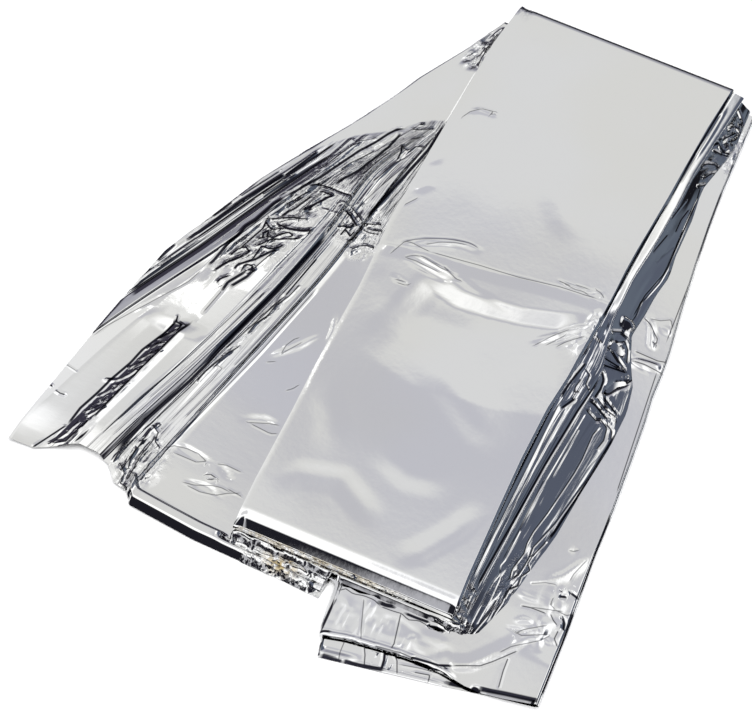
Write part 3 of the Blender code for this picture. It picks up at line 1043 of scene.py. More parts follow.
@dataclass(frozen=True)
class Pile:
    """The folded strip and the wide base: where each pass of film lies."""

    floor: float = 0.25  # height of the bottom pass
    pitch: float = 1.38  # one pass to the next
    tight: float = 0.55  # the same at the folds of the right flank
    top_tight: float = 0.45  # the top fold's own loop
    brow: tuple = ((0, 0.6), (60, 0.8), (110, 0.95), (130, 1.1), (200, 0.9), (240, 0.5))
    brow_reach: float = 0.75  # the top film's right edge turns down over this much
    brow_past: float = 1.4  # and on past the edge, up to this share of it
    brow_power: float = 1.4
    slant: float = 12.0  # the top's profile runs aslant around the crease
    slant_at: float = 120.0
    slant_spread: float = 40.0
    shoulder: float = 12.0  # the passes draw together over this much of X
    near_press: float = 0.16  # how far the near end is pressed down
    near_span: tuple = (2.0, 16.0)  # and where that ends
    under: float = 2.6  # the lower fold's film comes out this many gaps below the middle's
    bulge: tuple = ((0.0, 0.0), (0.5, 0.57), (0.8, 0.83), (0.94, 0.93), (1.0, 1.0))  # its own section
    base_span: tuple = (20.0, 60.0)  # the base's right edge changes along this stretch
    base_reach: tuple = (1.3, 0.45)  # how wide the turned edge is before and after it
    base_turn: tuple = (0.75, 0.25)  # and how high it stands
    base_power: float = 1.3
    top_profile: tuple = (
        (0, 0.0), (14, 0.15), (30, 0.3), (60, 0.5), (90, 0.3), (115, 0.1), (130, 0.05), (160, 0.15),
        (243, 0.0),
    )

    def flank(self, name: str, y: Grid) -> Grid:
        """One height of the flank's table along the strip."""
        return read_curve([row.y for row in FLANK_ROWS], [getattr(row, name) for row in FLANK_ROWS], y)

    def top(self, x: Grid, y: Grid) -> Grid:
        """Height of the top pass.

        Args:
            x: X of the points.
            y: Y of the points.

        Returns:
            Z of the points.
        """
        bends = np.asarray(self.top_profile, float)
        across = (x - edge_x(Edge.LEFT, y)) / (edge_x(Edge.TOP, y) - edge_x(Edge.LEFT, y))
        near_crease = np.exp(-((y - self.slant_at) / self.slant_spread) ** 2)
        turned = y - self.slant * (np.clip(across, 0.0, 1.0) - 0.5) * near_crease
        down = np.clip(1.0 - (edge_x(Edge.TOP, y) - x) / self.brow_reach, 0.0, self.brow_past)
        brow = -np.interp(y, *zip(*self.brow)) * down ** self.brow_power
        return self.floor + TOP_LEVEL * self.pitch + read_curve(bends[:, 0], bends[:, 1], turned) + brow

    def base_edge(self, level: int, x: Grid, y: Grid) -> Grid:
        """How high the base's film stands over its level, down to nothing at its right edge.

        Args:
            level: 1 for the upper film of the base, or 0.
            x: X of the points.
            y: Y of the points.

        Returns:
            The height of each point.
        """
        past = soft_step(y, *self.base_span)
        rim = np.clip(1.0 - (edge_x(Edge.BASE, y) - x) / mix(*self.base_reach, past), 0.0, 1.0)
        turned = mix(self.base_turn[1], self.base_turn[0], 1.0 - past) if level == 1 else 0.0
        return turned * (1.0 - rim ** self.base_power)

    def height(self, level: int, x: Grid, y: Grid) -> Grid:
        """Height of a pass of film, before its details.

        Args:
            level: place in the pile, 0 at the bottom and 7 at the top.
            x: X of the points.
            y: Y of the points.

        Returns:
            Z of the points.
        """
        press = 1.0 - self.near_press * (1.0 - soft_step(y, *self.near_span))
        inner = self.floor + level * self.pitch * press
        top_edge, middle, lower = (edge_x(edge, y) for edge in (Edge.TOP, Edge.MIDDLE, Edge.LOWER))
        closing = soft_step(x - top_edge, -self.shoulder, 0.0)
        if level == TOP_LEVEL:
            return self.top(x, y)
        if level == TOP_LEVEL - 1:
            return mix(inner, self.top(x, y) - self.top_tight, closing)
        out = np.clip((x - top_edge) / (middle - top_edge), 0.0, 1.0)
        if level in MIDDLE_LEVELS:
            rim = mix(self.flank("middle_in", y), self.flank("middle_out", y), out)
            return mix(inner, rim, closing) - (MIDDLE_LEVELS[1] - level) * self.tight * closing
        if level in LOWER_LEVELS:
            drop = self.flank("middle_in", y) - self.under * self.tight
            mid = mix(drop, self.flank("lower_in", y), out)
            share = np.interp(np.clip((x - middle) / (lower - middle), 0.0, 1.0), *zip(*self.bulge))
            rim = mix(mid, self.flank("lower_out", y), share)
            return mix(inner, rim, closing) - (LOWER_LEVELS[1] - level) * self.tight * closing
        return inner + self.base_edge(level, x, y) + np.zeros(np.broadcast(x, y).shape)


LIP_DETAILS = (
    Crumple(16, -9, 26, 6, 3, 0.6, stretch=0.8, seed=41),
    Crumple(-20, -11, 22, 4, 3.4, 0.35, stretch=0.6, seed=43),
)

BASE_DETAILS = (
    # upright creases in the near strip
    Crease(((57.5, -3), (56.5, -12), (58, -22)), 0.30, 0.8, 1.6, SHARP, 0.2),
    Crease(((50.5, -7), (49.5, -14), (51, -21)), 0.25, 1.2, 0.8, SHARP, 0.3),
    Crease(((74, -8), (72.5, -13), (71, -19)), 0.30, 2.6, 0.7, SHARP, 0.2),
    Crease(((64.5, -6), (62, -12), (63.5, -20)), -0.28, 0.9, 1.2, SHARP, 0.2),
    Crumple(49.5, -13, 6, 7, 3.4, 0.12, seed=52, facets=0),
    Crumple(66, -10, 12, 5, 5.5, 0.14, seed=53, facets=0),
    Crumple(81, -10.5, 9, 6, 5, 0.2, seed=54, facets=0),
    # the crease that sweeps up to the right edge
    Crease(((88, -14.6), (96, -10.6), (103, -2.2), (108, 5.5), (115, 14)), 0.3, 4.4, 2, SHARP, 0.12),
    Crease(((93, -14), (99, -7.5), (104.5, 0.5)), -0.22, 0.8, 0.8, LEAF, 0.3),
    Crease(((121, -24), (120.5, -6), (120, 10)), 1.3, 16, 2, SHARP, 0.3),
    Star(112, 23.5, 7.5, 9, 0.2, 11, 7, facets=0),
    Star(112.5, 10, 7, 7.5, 0.28, 11, 9, facets=0),
    Crease(((97, 19.5), (103.5, 20.5), (110, 21.5)), 0.32, 0.8, 1.4, LEAF, 0.4),
    Crease(((101, 9.5), (105, 12.5), (110, 12.8)), 0.28, 0.9, 1.2, LEAF, 0.4),
    Crease(((99, 6.8), (104, 8), (109, 9.8)), -0.2, 0.8, 0.9, LEAF, 0.4),
    Crease(((104, 27), (110, 33), (116, 44)), 0.3, 1.4, 3, LEAF, 0.3),
    Crease(((108, 42.5), (111.5, 43)), -0.25, 0.6, 0.6, LEAF, 0.5),
    # by the middle pocket
    Crease(((94, 118), (101, 121.5), (109.5, 122.5)), 0.5, 1.2, 3, SHARP, 0.15),
    Crease(((93, 124), (99, 119.5), (107, 118.5)), -0.35, 1.6, 1, LEAF, 0.3),
    Crease(((95.5, 140), (99, 136), (101.5, 129), (104, 127)), 0.34, 2.4, 0.8, SHARP, 0.2),
    Crease(((101, 138), (105, 138.5), (107, 135)), 0.3, 0.9, 3, LEAF, 0.3),
    Crumple(98.5, 222, 3, 15, 3, 0.4, seed=57, facets=0.1),
)

LOWER_DETAILS = (
    Crumple(95, 24, 5, 18, 3, 0.3, turn=-10, stretch=2.4, seed=61, facets=0.05),
    Crumple(93.5, 30, 8, 40, 2.4, 0.12, turn=-6, stretch=6, seed=62, facets=0),
    # the curls below the pocket
    Crease(((101.5, 112), (97, 108), (94.5, 101.5)), -0.9, 2.4, 1.6, SHARP, 0.2),
    Crease(((94, 103), (96.5, 98), (101, 97), (104, 94)), 0.7, 1, 1.2, SHARP, 0.2),
    Crumple(96.5, 99, 4.5, 6, 2.8, 0.3, seed=63, facets=0),
    # the pocket
    Crease(((88, 133), (92, 133.5), (96, 130)), 1, 1.2, 3.6, SHARP, 0.15),
    Crease(((87, 118), (91, 121.5), (95.5, 120)), -0.8, 2.2, 1.4, SHARP, 0.15),
    Crumple(91, 124, 6, 8, 6, 0.5, seed=64, facets=0),
    # the wedge and the far crumples
    Crumple(92, 165, 5, 34, 4.5, 0.10, turn=-3, stretch=3, seed=65, facets=0),
    Crumple(94.5, 206, 5, 12, 2.8, 0.45, turn=25, stretch=0.6, seed=66, facets=0.1),
    Crumple(95.5, 226, 5.5, 13, 4.2, 1, turn=20, stretch=0.8, seed=67, facets=0.1),
    Crease(((90, 224), (94, 219.5), (99, 222.5)), -1, 1.6, 1.2, SHARP, 0.2),
    # crumpled film below the strip's near end
    Crumple(20, -5.5, 24, 6, 3.6, 0.9, stretch=0.75, seed=71, facets=0.12),
    Crumple(60, -6.5, 20, 5, 6, 0.4, stretch=0.5, seed=72, facets=0),
    Crumple(84, -3, 9, 9, 3, 0.9, seed=73, facets=0.1),
)

MIDDLE_DETAILS = (
    Crease(((89.6, 109), (87.9, 100), (86.8, 85), (85.2, 58), (84.4, 32), (85.2, 9)),
           0.16, 0.9, 0.7, SHARP, 0.05),
    Crumple(86, 104, 3.4, 9, 2.8, 0.3, turn=-10, stretch=1.4, seed=81, facets=0),
    Crumple(85, 121, 3, 8, 3, 0.6, seed=82, facets=0),
    Crumple(85.5, 7, 4, 9, 2.6, 0.5, seed=83, facets=0.1),
    Crumple(40, -2, 46, 3, 7, 0.05, stretch=0.4, seed=84),
    Crease(((83.8, 240), (84.6, 215), (83.4, 180), (83, 140)), -0.35, 0.7, 0.8, SHARP, 0.05),
    Crease(((88, 236), (87.6, 222), (86.6, 212), (85.6, 206)), 0.2, 0.7, 0.7, SHARP, 0.2),
)

TOP_DETAILS = (
    # the crease across the strip and the drop below it
    Crease(((-4, 119.5), (2, 121), (8, 122.6), (13.3, 123.9), (21, 124.9), (30.6, 125.9), (41.9, 127.7),
                (52.9, 129.9), (64, 131.7), (76, 133.2), (86, 134)), 0.16, 0.55, 5, SHARP, 0.05),
    Crease(((14, 113), (21, 111), (33, 108), (45, 109.5), (57.5, 112), (70, 116), (82, 121)),
           -1.2, 6.6, 36, SHARP, 0.2),
    Crease(((24, 121.6), (36, 117.6), (48, 115.5), (56, 114.8)), -0.10, 1.6, 2.6, SOFT, 0.3),
    # curls at the crease's two ends
    Crease(((2.5, 121.6), (6.6, 125), (11, 128.4), (16.1, 130.7), (21, 132.7), (25, 133.6), (29, 133.7),
                (32, 133.2)), 0.30, 0.8, 2.4, SHARP, 0.12),
    Crease(((12, 125), (18, 128.6), (24, 130.6)), -0.16, 1, 0.8, LEAF, 0.35),
    Crease(((7, 118), (13, 117.4), (19, 116.6), (25, 116.4), (31, 118.4)), -0.42, 0.9, 1.2, LEAF, 0.3),
    Crease(((9.5, 121.2), (14, 120.8), (20, 120.2), (25, 119.6), (29, 118)), 0.34, 1, 1.1, LEAF, 0.3),
    Crease(((6.5, 110), (10, 108.6), (15.5, 108.4)), -0.4, 0.8, 1, LEAF, 0.4),
    Crumple(24, 119, 8, 3.2, 3, 0.14, seed=91, facets=0),
    Crease(((61, 134.6), (67, 134.4), (73, 134.8), (80, 137.6)), 0.26, 0.9, 0.8, LEAF, 0.3),
    Crumple(75.5, 134.5, 6, 3, 2.6, 0.2, seed=92, facets=0),
    Crease(((62, 106), (68, 111), (74, 117), (82, 123.6)), 0.42, 1.6, 1, LEAF, 0.25),
    Crease(((66, 107), (72, 111.5), (79, 118)), -0.3, 1.1, 1.3, LEAF, 0.3),
    Crumple(76, 116, 6, 6, 3, 0.2, turn=45, seed=93, facets=0),
    Crumple(80.5, 122.5, 2.5, 9, 2.4, 0.35, seed=94, facets=0),
    # soft folds
    Crease(((-1, 112), (4, 107), (9, 100), (12, 92)), -0.08, 7, 9, SOFT, 0.4),
    Crease(((12, 101), (24, 98), (36, 99), (50, 103)), -0.12, 9, 12, SOFT, 0.35),
    Crease(((28, 88), (48, 76), (62, 68), (78, 66)), 0.32, 14, 10, SOFT, 0.35),
    Crease(((3, 60), (14, 48), (20, 34)), 0.14, 7, 8, SOFT, 0.4),
    Crease(((6, 14), (14, 24), (28, 28), (40, 22), (50, 20)), -0.2, 6, 7, SOFT, 0.3),
    Crease(((56, 8), (64, 15), (72, 28), (77, 42)), -0.24, 7, 5, SOFT, 0.3),
    Crease(((30, 46), (48, 40), (66, 44)), 0.22, 9, 8, SOFT, 0.4),
    # marks above the crease
    Crease(((-1, 186), (4, 190.5), (9, 191.2), (12.5, 188.5)), 0.30, 0.7, 1.6, LEAF, 0.3),
    Crease(((4, 226), (11, 229.5), (17, 230)), 0.16, 0.8, 1.8, LEAF, 0.35),
    Crease(((-3, 145), (2, 151), (6, 150)), 0.24, 1.4, 2.4, LEAF, 0.4),
    Crease(((-4, 158), (0, 163), (1, 170)), 0.16, 1.2, 2.2, LEAF, 0.4),
    Crease(((40, 176), (52, 160), (62, 152)), 0.14, 7, 8, SOFT, 0.4),
    Crease(((12, 170), (30, 206), (46, 236)), 0.14, 9, 10, SOFT, 0.4),
    Crumple(-1, 241, 5, 5, 2.6, 0.6, seed=95, facets=0.1),
)

# The marks below paint their lines dark in the film's colour, a painted reflection of the dark walls and
# painted shade; their slopes are real bump.
# long black bands of the outer pleats
OUTER_PLEATS = seen(1.5,
    (BROAD_VALLEY, (127, 295), (200, 247), (312, 167), (335, 153)),
    (SOFT_LINE, (335, 153), (352, 138)),
    (VALLEY, (196, 239), (337, 141.5)),
    (BAND, (186, 241), (245, 199)),
    (LINE, (160, 264.5), (197, 238.5)),
    (BROAD_BAND, (156, 261), (176, 243)),
    (BAND, (143, 275.5), (147, 271), (152, 268.5)),
    (BROAD_BAND, (186, 233), (200, 222), (208, 218)),
    (BROAD_BAND, (212, 217), (232, 201)),
    (BAND, (240, 202), (284, 174)),
    (FOLD, (284, 176), (318, 151)),
    (SOFT_LINE, (232, 195), (300, 154)),
    (SOFT_LINE, (200, 215), (224, 200)),
    (LINE, (318, 172), (352, 146), (362, 142)),
    (LINE, (262, 196), (296, 174)),
)

# the pleat from the far right to the panel's foot
LONG_PLEATS = seen(2,
    (BAND, (207, 267), (214, 261), (229, 243.5), (238, 237), (246, 228), (256, 222), (275, 205),
     (285, 199)),
    (VALLEY, (285, 199), (320, 178), (360, 150), (375, 142), (388, 133), (397, 128), (407, 127.5)),
    (VALLEY, (335, 186), (342, 180), (358, 171), (388, 147), (399, 135), (401, 131)),
    (SOFT_LINE, (352, 138), (356, 141), (378, 137)),
    (LINE, (340, 170), (350, 163), (375, 150)),
    (LINE, (362, 176), (390, 152)),
    (LINE, (372, 182), (396, 162), (408, 156)),
)

# folds in the wedge's far corner
CORNER_FOLDS = seen(2,
    (FOLD, (402, 145), (401, 152), (397, 160)),
    (LINE, (402, 146), (407, 150), (410, 149)),
    (LINE, (408, 140.5), (424, 135.5)),
    (LINE, (410, 150), (416, 145.5), (424, 147)),
    (LINE, (412, 128), (422, 129), (434, 128)),
    (FOLD, (420, 123.5), (425, 123)),
)

# beside the strip
STRIP_SIDE_PLEATS = seen(1.5,
    (SOFT_LINE, (359, 207), (377, 190), (405, 167)),
) + seen(1,
    (BAND, (366, 219), (428, 150), (445, 124)),
    (SOFT_LINE, (379, 212), (404, 186)),
    (SOFT_LINE, (383, 217), (401, 197), (415, 177), (420, 167)),
)

# zig-zag folds
ZIG_ZAGS = seen(2.5,
    (SHARP_VALLEY, (310, 186), (316, 184), (322, 184.5), (353, 197)),
    (THIN_ZIG, (320, 191), (333, 195.5)),
) + seen(2,
    (ZIG, (302, 212), (334, 195)),
    (ZIG, (281, 217), (288, 211.5), (296, 208), (312, 196)),
    (LINE, (286, 205), (312, 190)),
    (THIN_ZIG, (270, 219), (290, 218), (300, 219.5)),
    (ZIG, (276, 223), (285, 228.5), (296, 231), (306, 232), (313, 230.5)),
    (LINE, (278, 223), (286, 220.5), (308, 220)),
    (THIN_ZIG, (240, 249), (263, 228), (266, 222), (270, 228), (277, 230), (285, 229)),
    (THIN_ZIG, (256, 240), (263, 238), (263, 233), (269, 230), (267, 237), (273, 239), (281, 235),
     (289, 233), (293, 236), (288, 239)),
    (THIN_ZIG, (255, 248), (272, 240), (298, 239.5), (303, 237)),
    (THIN_ZIG, (252, 261), (262, 247), (269, 250), (277, 249), (285, 245)),
    (ZIG, (233, 271), (238, 265), (256, 260), (278, 249)),
    (LINE, (246, 276), (274, 252)),
    (ZIG, (213, 271.5), (229, 262), (245, 256.5)),
    (THIN_ZIG, (230, 256), (238, 249), (246, 248), (250, 253), (244, 257)),
    (THIN_ZIG, (241, 272), (245, 265), (252, 266), (254, 270), (247, 271)),
    (THIN_ZIG, (216, 284), (221, 279), (230, 276)),
)

# the marbled folds' foot
MARBLE_FOOT = seen(1.5,
    (SOFT_LINE, (203, 314), (222, 292)),
    (BAND, (222, 292), (228, 283.5), (246, 272.5)),
    (BAND, (230, 288), (247, 278), (253, 272)),
)

# star
STAR_FOLDS = seen(2,
    (BOLD_TANGLE, (345, 210), (350, 215), (357, 226)),
    (TANGLE, (352, 207), (362, 221)),
    (BOLD_TANGLE, (337, 226), (344, 226), (350, 228), (354, 224)),
    (TANGLE, (364, 222), (381, 222.5)),
    (TANGLE, (363, 228), (370, 231), (378, 232)),
    (TANGLE, (366, 226), (374, 228.5), (382, 229)),
    (FOLD, (340, 236), (345, 229), (350, 236), (355, 231)),
    (TANGLE, (346, 242), (352, 238), (363, 225)),
    (TANGLE, (350, 249), (358, 244), (366, 243), (374, 246)),
    (GLINT, (335, 206), (342, 203), (350, 206), (356, 204)),
    (GLINT, (322, 209), (340, 216)),
)

# the bundle: the dark crest, the fine lines beside it and its border
BUNDLE_LINES = seen(3,
    (BROAD_BAND, (329, 231), (276, 290), (222, 345), (206, 363), (190, 379), (148, 416), (112, 452)),
) + seen(2.6,
    (SOFT_LINE, (262, 287), (190, 356), (140, 398), (99, 437)),
    (HAIR, (268, 291), (195, 360), (146, 402)),
    (FOLD, (317, 257), (284, 296)),
    (TANGLE, (284, 296), (226, 347)),
    (TANGLE, (300, 284), (288, 296), (276, 304), (268, 314), (256, 322), (246, 334)),
) + seen(2.4,
    (TANGLE, (240, 345), (228, 352), (205, 371), (196, 382)),
    (LINE, (222, 356), (205, 370), (190, 386), (146, 427)),
) + seen(2.2,
    (HAIR, (214, 362), (222, 368), (212, 380), (168, 422)),
) + seen(2,
    (SOFT_LINE, (318, 286), (260, 351), (200, 413), (172, 440)),
) + seen(2.2,
    (HAIR, (300, 298), (262, 341), (182, 421)),
    (HAIR, (308, 286), (272, 327), (232, 368)),
)

# the bundle's crumpled end
BUNDLE_END = seen(2.4,
    (TANGLE, (148, 418), (118, 452), (112, 462)),
    (TANGLE, (160, 422), (150, 430), (120, 470)),
    (TANGLE, (156, 436), (140, 456), (126, 480)),
) + seen(2.2,
    (TANGLE, (152, 424), (158, 432), (155, 441), (160, 448)),
) + seen(2.4,
    (TANGLE, (120, 462), (124, 472), (120, 482), (127, 486)),
) + seen(2.2,
    (TANGLE, (137, 446), (130, 458), (128, 468)),
)

# the dark facet: its rims and slanting light creases
FACET_RIMS = seen(2.6,
    (RIM, (180, 318), (163, 332), (142, 348), (130, 361), (110, 378), (97, 391), (80, 406), (66, 424)),
    (RIM, (193, 321), (176, 336), (160, 352), (141, 370), (120, 392), (106, 406), (92, 421)),
) + seen(2.8,
    (FOLD, (178, 314), (176, 321), (182, 325), (176, 332)),
) + seen(2,
    (FOLD, (66, 424), (52, 433), (32, 446)),
    (FOLD, (90, 421), (82, 428), (66, 441), (52, 442)),
    (LINE, (80, 420), (66, 433), (48, 443)),
    (LINE, (84, 411), (94, 409), (107, 402)),
) + seen(3,
    (FACET_FOLD, (98, 394), (113, 387), (122, 383)),
    (FACET_FOLD, (103, 378), (116, 378), (128, 375), (138, 369)),
    (FACET_FOLD, (146, 346), (158, 343), (164, 344)),
    (FACET_FOLD, (86, 416), (96, 412), (106, 406)),
    (FACET_FOLD, (138, 358), (150, 354), (162, 351)),
    (FACET_FOLD, (84, 412), (94, 403), (107, 400)),
    (FACET_FOLD, (112, 391), (121, 385), (129, 383)),
    (FACET_FOLD, (127, 366), (137, 363), (148, 361)),
    (FACET_FOLD, (158, 337), (168, 334), (176, 331)),
)

# the panel's thin line and its hem marks
PANEL_LINES = seen(3,
    (FAINT, (92, 336), (105, 326), (188, 281), (202, 269)),
) + seen(1,
    (FOLD, (48, 385), (53, 388)),
    (LINE, (56, 392), (61, 395), (66, 396)),
    (HAIR, (63, 364), (77, 373)),
)

# wrinkles of the flat panel
FLAT_WRINKLES = seen(1.6,
    (FAINT, (164, 448), (174, 445), (186, 447), (198, 452), (206, 460), (196, 461), (172, 451)),
) + seen(1.4,
    (FAINT, (217, 463), (226, 464), (241, 471)),
    (CURL, (204, 474), (210, 473), (216, 477), (210, 479), (205, 477)),
    (FAINT, (181, 481), (194, 484), (208, 484), (220, 486), (230, 491)),
    (FAINT, (186, 484), (200, 491), (216, 494), (228, 492), (240, 492)),
    (FAINT, (226, 487), (241, 495)),
) + seen(1.6,
    (FAINT, (246, 421), (270, 422), (280, 424)),
    (FAINT, (250, 422), (270, 432), (278, 432)),
    (FAINT, (281, 353), (286, 344), (294, 338), (300, 336)),
    (FAINT, (281, 353), (302, 341)),
    (FAINT, (266, 361), (276, 360)),
    (FAINT, (286, 389), (293, 387), (299, 383)),
)

# the far tip
FAR_TIP = seen(1,
    (BROAD_BAND, (524, 12), (530, 8), (536, 9)),
    (TANGLE, (505, 28), (497, 38), (486, 60)),
    (TANGLE, (498, 34), (482, 56), (478, 66)),
    (TANGLE, (492, 46), (484, 50), (476, 58)),
)

# the right edge's dark line, painted shade along the edge
RIGHT_EDGE = seen(1,
    (RIM, (612, 512), (579, 600)),
    (BROAD_RIM, (574, 612), (562, 648), (543, 698)),
    (THIN_RIM, (735, 158), (690, 282), (665, 346)),
    (THIN_RIM, (657, 372), (616, 495)),
)

# creases by the right edge
EDGE_CREASES = seen(1,
    (FAINT, (568, 551.5), (573, 552.5), (579, 551.5)),
    (BOLD, (559, 598), (566, 598.5)),
    (BOLD, (570, 594), (579, 601)),
    (FAINT, (553, 599), (550, 606), (556, 612)),
    (CURL, (520, 607), (530, 609), (546, 615)),
    (FAINT, (530, 608.5), (562, 613)),
    (CURL, (550, 615), (553, 622), (557, 627)),
    (BOLD, (562, 618), (564, 625), (563, 632)),
    (FAINT, (556, 612), (566, 617), (572, 616)),
    (FAINT, (547, 627), (523, 631), (516, 634), (521, 637), (549, 636)),
    (FAINT, (499, 654), (511, 648), (540, 642), (551, 636)),
    (FAINT, (569, 583), (573, 576), (587, 561)),
    (HAIR, (530, 585), (545, 584), (556, 586)),
    (CURL, (558, 632), (554, 640), (557, 648)),
)

# the near strip: its creases and the upper layer's edge
NEAR_STRIP = seen(1,
    (RIM, (317, 634), (324, 632.5), (332, 633)),
    (FAINT, (364, 600), (361, 632), (361, 641)),
    (CURL, (401, 614), (394, 645), (391, 650)),
    (CURL, (374, 647), (402, 655), (416, 661)),
    (BOLD, (412, 659), (438, 666.5), (452, 667)),
    (CURL, (452, 667), (480, 667), (492, 663), (518, 652)),
    (BROAD_RIM, (478, 689), (505, 695), (538, 703)),
    (CURL, (498, 690), (503, 672), (508, 659)),
    (RIM, (335, 600), (328, 616), (320, 633)),
)

# the torn band beside the strip's near end
NEAR_BAND = seen(1,
    (THIN_RIM, (337, 592), (346, 590), (353, 595), (364, 597), (374, 601), (381, 608)),
    (THIN_RIM, (381, 608), (392, 612), (402, 615), (408, 621), (419, 622), (428, 627)),
    (BROAD_RIM, (378, 603), (386, 606.5), (396, 608)),
    (RIM, (404, 614), (416, 619), (430, 624)),
    (THIN_ZIG, (428, 627), (436, 628), (444, 632)),
    (THIN_ZIG, (338, 583), (352, 586), (360, 591), (372, 593)),
)

# creases, and dark rims painted as shade, of the layer under the near strip
UNDER_STRIP = seen(0.5,
    (BOLD, (385, 650), (384, 660), (381, 670)),
    (CURL, (393, 652), (397, 660), (397, 674)),
    (CURL, (364, 643), (365, 655), (364, 668)),
    (FAINT, (345, 640), (340, 652), (338, 664)),
    (FAINT, (398, 664), (420, 668), (444, 675)),
    (CURL, (414, 672), (430, 675), (428, 682)),
    (WIDE_RIM, (319, 656), (330, 659), (341, 663)),
    (BROAD_RIM, (342, 661), (360, 665.5), (386, 670)),
    (RIM, (321, 641), (318, 653)),
    (BROAD_RIM, (444, 682), (480, 690), (500, 694)),
)

# below the pocket, and the small arc above it
POCKET_FOOT = seen(1,
    (CURL, (643, 318), (650, 326), (657, 340), (656, 345), (651, 343)),
    (FAINT, (650, 320), (660, 322), (671, 321), (672, 330)),
    (CURL, (632, 362), (644, 366), (664, 376)),
    (CURL, (634, 352), (657, 362), (668, 364)),
)

# long lines on the lower flank
LOWER_FLANK = seen(5,
    (SHEEN, (586, 412), (531, 505), (506, 553)),
) + seen(4.8,
    (SOFT_LINE, (545, 478), (520, 529), (502, 561)),
) + seen(4.5,
    (SHEEN, (521, 529), (505, 560), (500, 566), (499, 575), (492, 583), (468, 628)),
) + seen(4,
    (RIB, (601, 425), (593, 434), (582, 459), (574, 473), (548, 512), (533, 532), (527, 543),
     (524, 553), (512, 569), (510, 577), (503, 584)),
) + seen(3.6,
    (RIB, (606, 450), (596, 466), (555, 523), (533, 547), (530, 556), (519, 574), (508, 582)),
) + seen(3.8,
    (SHEEN, (500, 578), (490, 600), (476, 624)),
) + seen(3.6,
    (SHEEN, (507, 588), (486, 622)),
) + seen(3.4,
    (RIB, (513, 584), (506, 592), (502, 602), (495, 612), (489, 624), (482, 632)),
) + seen(4.6,
    (HAIR, (579, 428), (551, 479)),
) + seen(2.8,
    (RIM, (617, 432), (582, 490), (555, 531), (547, 541)),
) + seen(2.6,
    (RIB, (547, 541), (532, 557), (527, 565), (531, 570), (521, 577), (518, 586), (509, 590), (504, 600)),
    (BOLD, (508, 609), (503, 615), (497, 619)),
) + seen(3,
    (RIB, (497, 600), (488, 615), (470, 636)),
)

# curls and the blue triangle
CURLS = seen(4.6,
    (BOLD_TANGLE, (588, 402), (594, 404), (607, 417)),
    (TANGLE, (586, 411), (596, 420), (602, 419)),
    (TANGLE, (598, 399), (604, 407), (617, 416)),
) + seen(4,
    (FOLD, (602, 395), (637, 376)),
    (FOLD, (603, 397), (617, 413)),
) + seen(5.5,
    (BOLD_TANGLE, (602, 371), (604, 379), (601, 388), (595, 397)),
) + seen(3,
    (LINE, (600, 420), (607, 428), (604, 440), (597, 449)),
    (LINE, (606, 424), (612, 430), (611, 440)),
)

# the pocket
POCKET = seen(6.5,
    (SHARP_VALLEY, (589, 361), (628, 368)),
    (TANGLE, (612, 347), (626, 365)),
    (FOLD, (590, 353), (600, 355), (622, 364)),
    (TANGLE, (608, 345), (616, 340), (626, 337), (629, 345), (628, 358)),
) + seen(6.8,
    (TANGLE, (594, 345), (603, 348), (610, 344)),
    (TANGLE, (612, 330), (622, 328), (630, 333)),
)

# the wedge's outer border: a double line
WEDGE_BORDER = seen(3,
    (RIB, (700, 195), (691, 213), (668, 268), (660, 282), (641, 304), (636, 316), (630, 325)),
    (RIB, (697, 202), (664, 274), (645, 296), (632, 319)),
) + seen(6,
    (SOFT_LINE, (685, 186), (616, 308)),
)

# bright flecks and creases of the wedge
WEDGE_FLECKS = seen(5,
    (SHEEN, (687, 200), (671, 222)),
    (SHEEN, (690, 208), (682, 219), (676, 232)),
    (SHEEN, (668, 236), (652, 256)),
    (SHEEN, (676, 243), (656, 263)),
)

# crumples at the far end
FAR_CRUMPLE = seen(5.5,
    (BOLD_TANGLE, (711, 147), (718, 143), (725, 149), (736, 152)),
    (TANGLE, (712, 150), (735, 153)),
    (TANGLE, (737, 108), (742, 114), (745, 122), (738, 121)),
    (TANGLE, (728, 128), (736, 124), (742, 128), (737, 136), (729, 140)),
    (TANGLE, (722, 140), (738, 129)),
    (TANGLE, (700, 168), (707, 163), (716, 162), (724, 165)),
    (TANGLE, (704, 176), (712, 170), (722, 168)),
    (TANGLE, (698, 184), (716, 177)),
)

# beside the top fold, then the bright main line with its dark foot
MAIN_LINES = seen(8,
    (SHARP_VALLEY, (590, 338), (585, 350), (568, 376), (557, 396), (506, 498), (464, 589)),
) + seen(7.6,
    (SOFT_LINE, (561, 400), (471, 580)),
) + seen(7.4,
    (HAIR, (566, 408), (516, 500), (495, 543)),
) + seen(7.2,
    (HAIR, (560, 432), (510, 522)),
) + seen(7,
    (BOLD, (603, 374), (578, 410), (546, 463), (475, 590)),
) + seen(8,
    (SHARP_VALLEY, (586, 362), (568, 385), (561, 397)),
) + seen(7.6,
    (RIB, (582, 378), (576, 386), (574, 392), (580, 391)),
    (RIB, (585, 368), (590, 374), (586, 383), (590, 390)),
    (BOLD, (562, 408), (575, 398)),
) + seen(8.2,
    (BROAD_BAND, (598, 322), (583, 354)),
    (RIB, (577, 338), (580, 347), (585, 350)),
)

# far part: the line beside the strip and the pale film's own edge
UPPER_FLANK = seen(8.2,
    (VALLEY, (722, 108), (700, 140), (667, 197), (605, 312)),
) + seen(8,
    (HAIR, (722, 113), (680, 183)),
)

# the crease across the strip
STRIP_CREASE = seen(9.9,
    (FAINT, (430, 252), (480, 265.5), (520, 278), (560, 287), (600, 300)),
    (FAINT, (390, 254), (405, 241.5), (412, 243), (430, 252)),
)

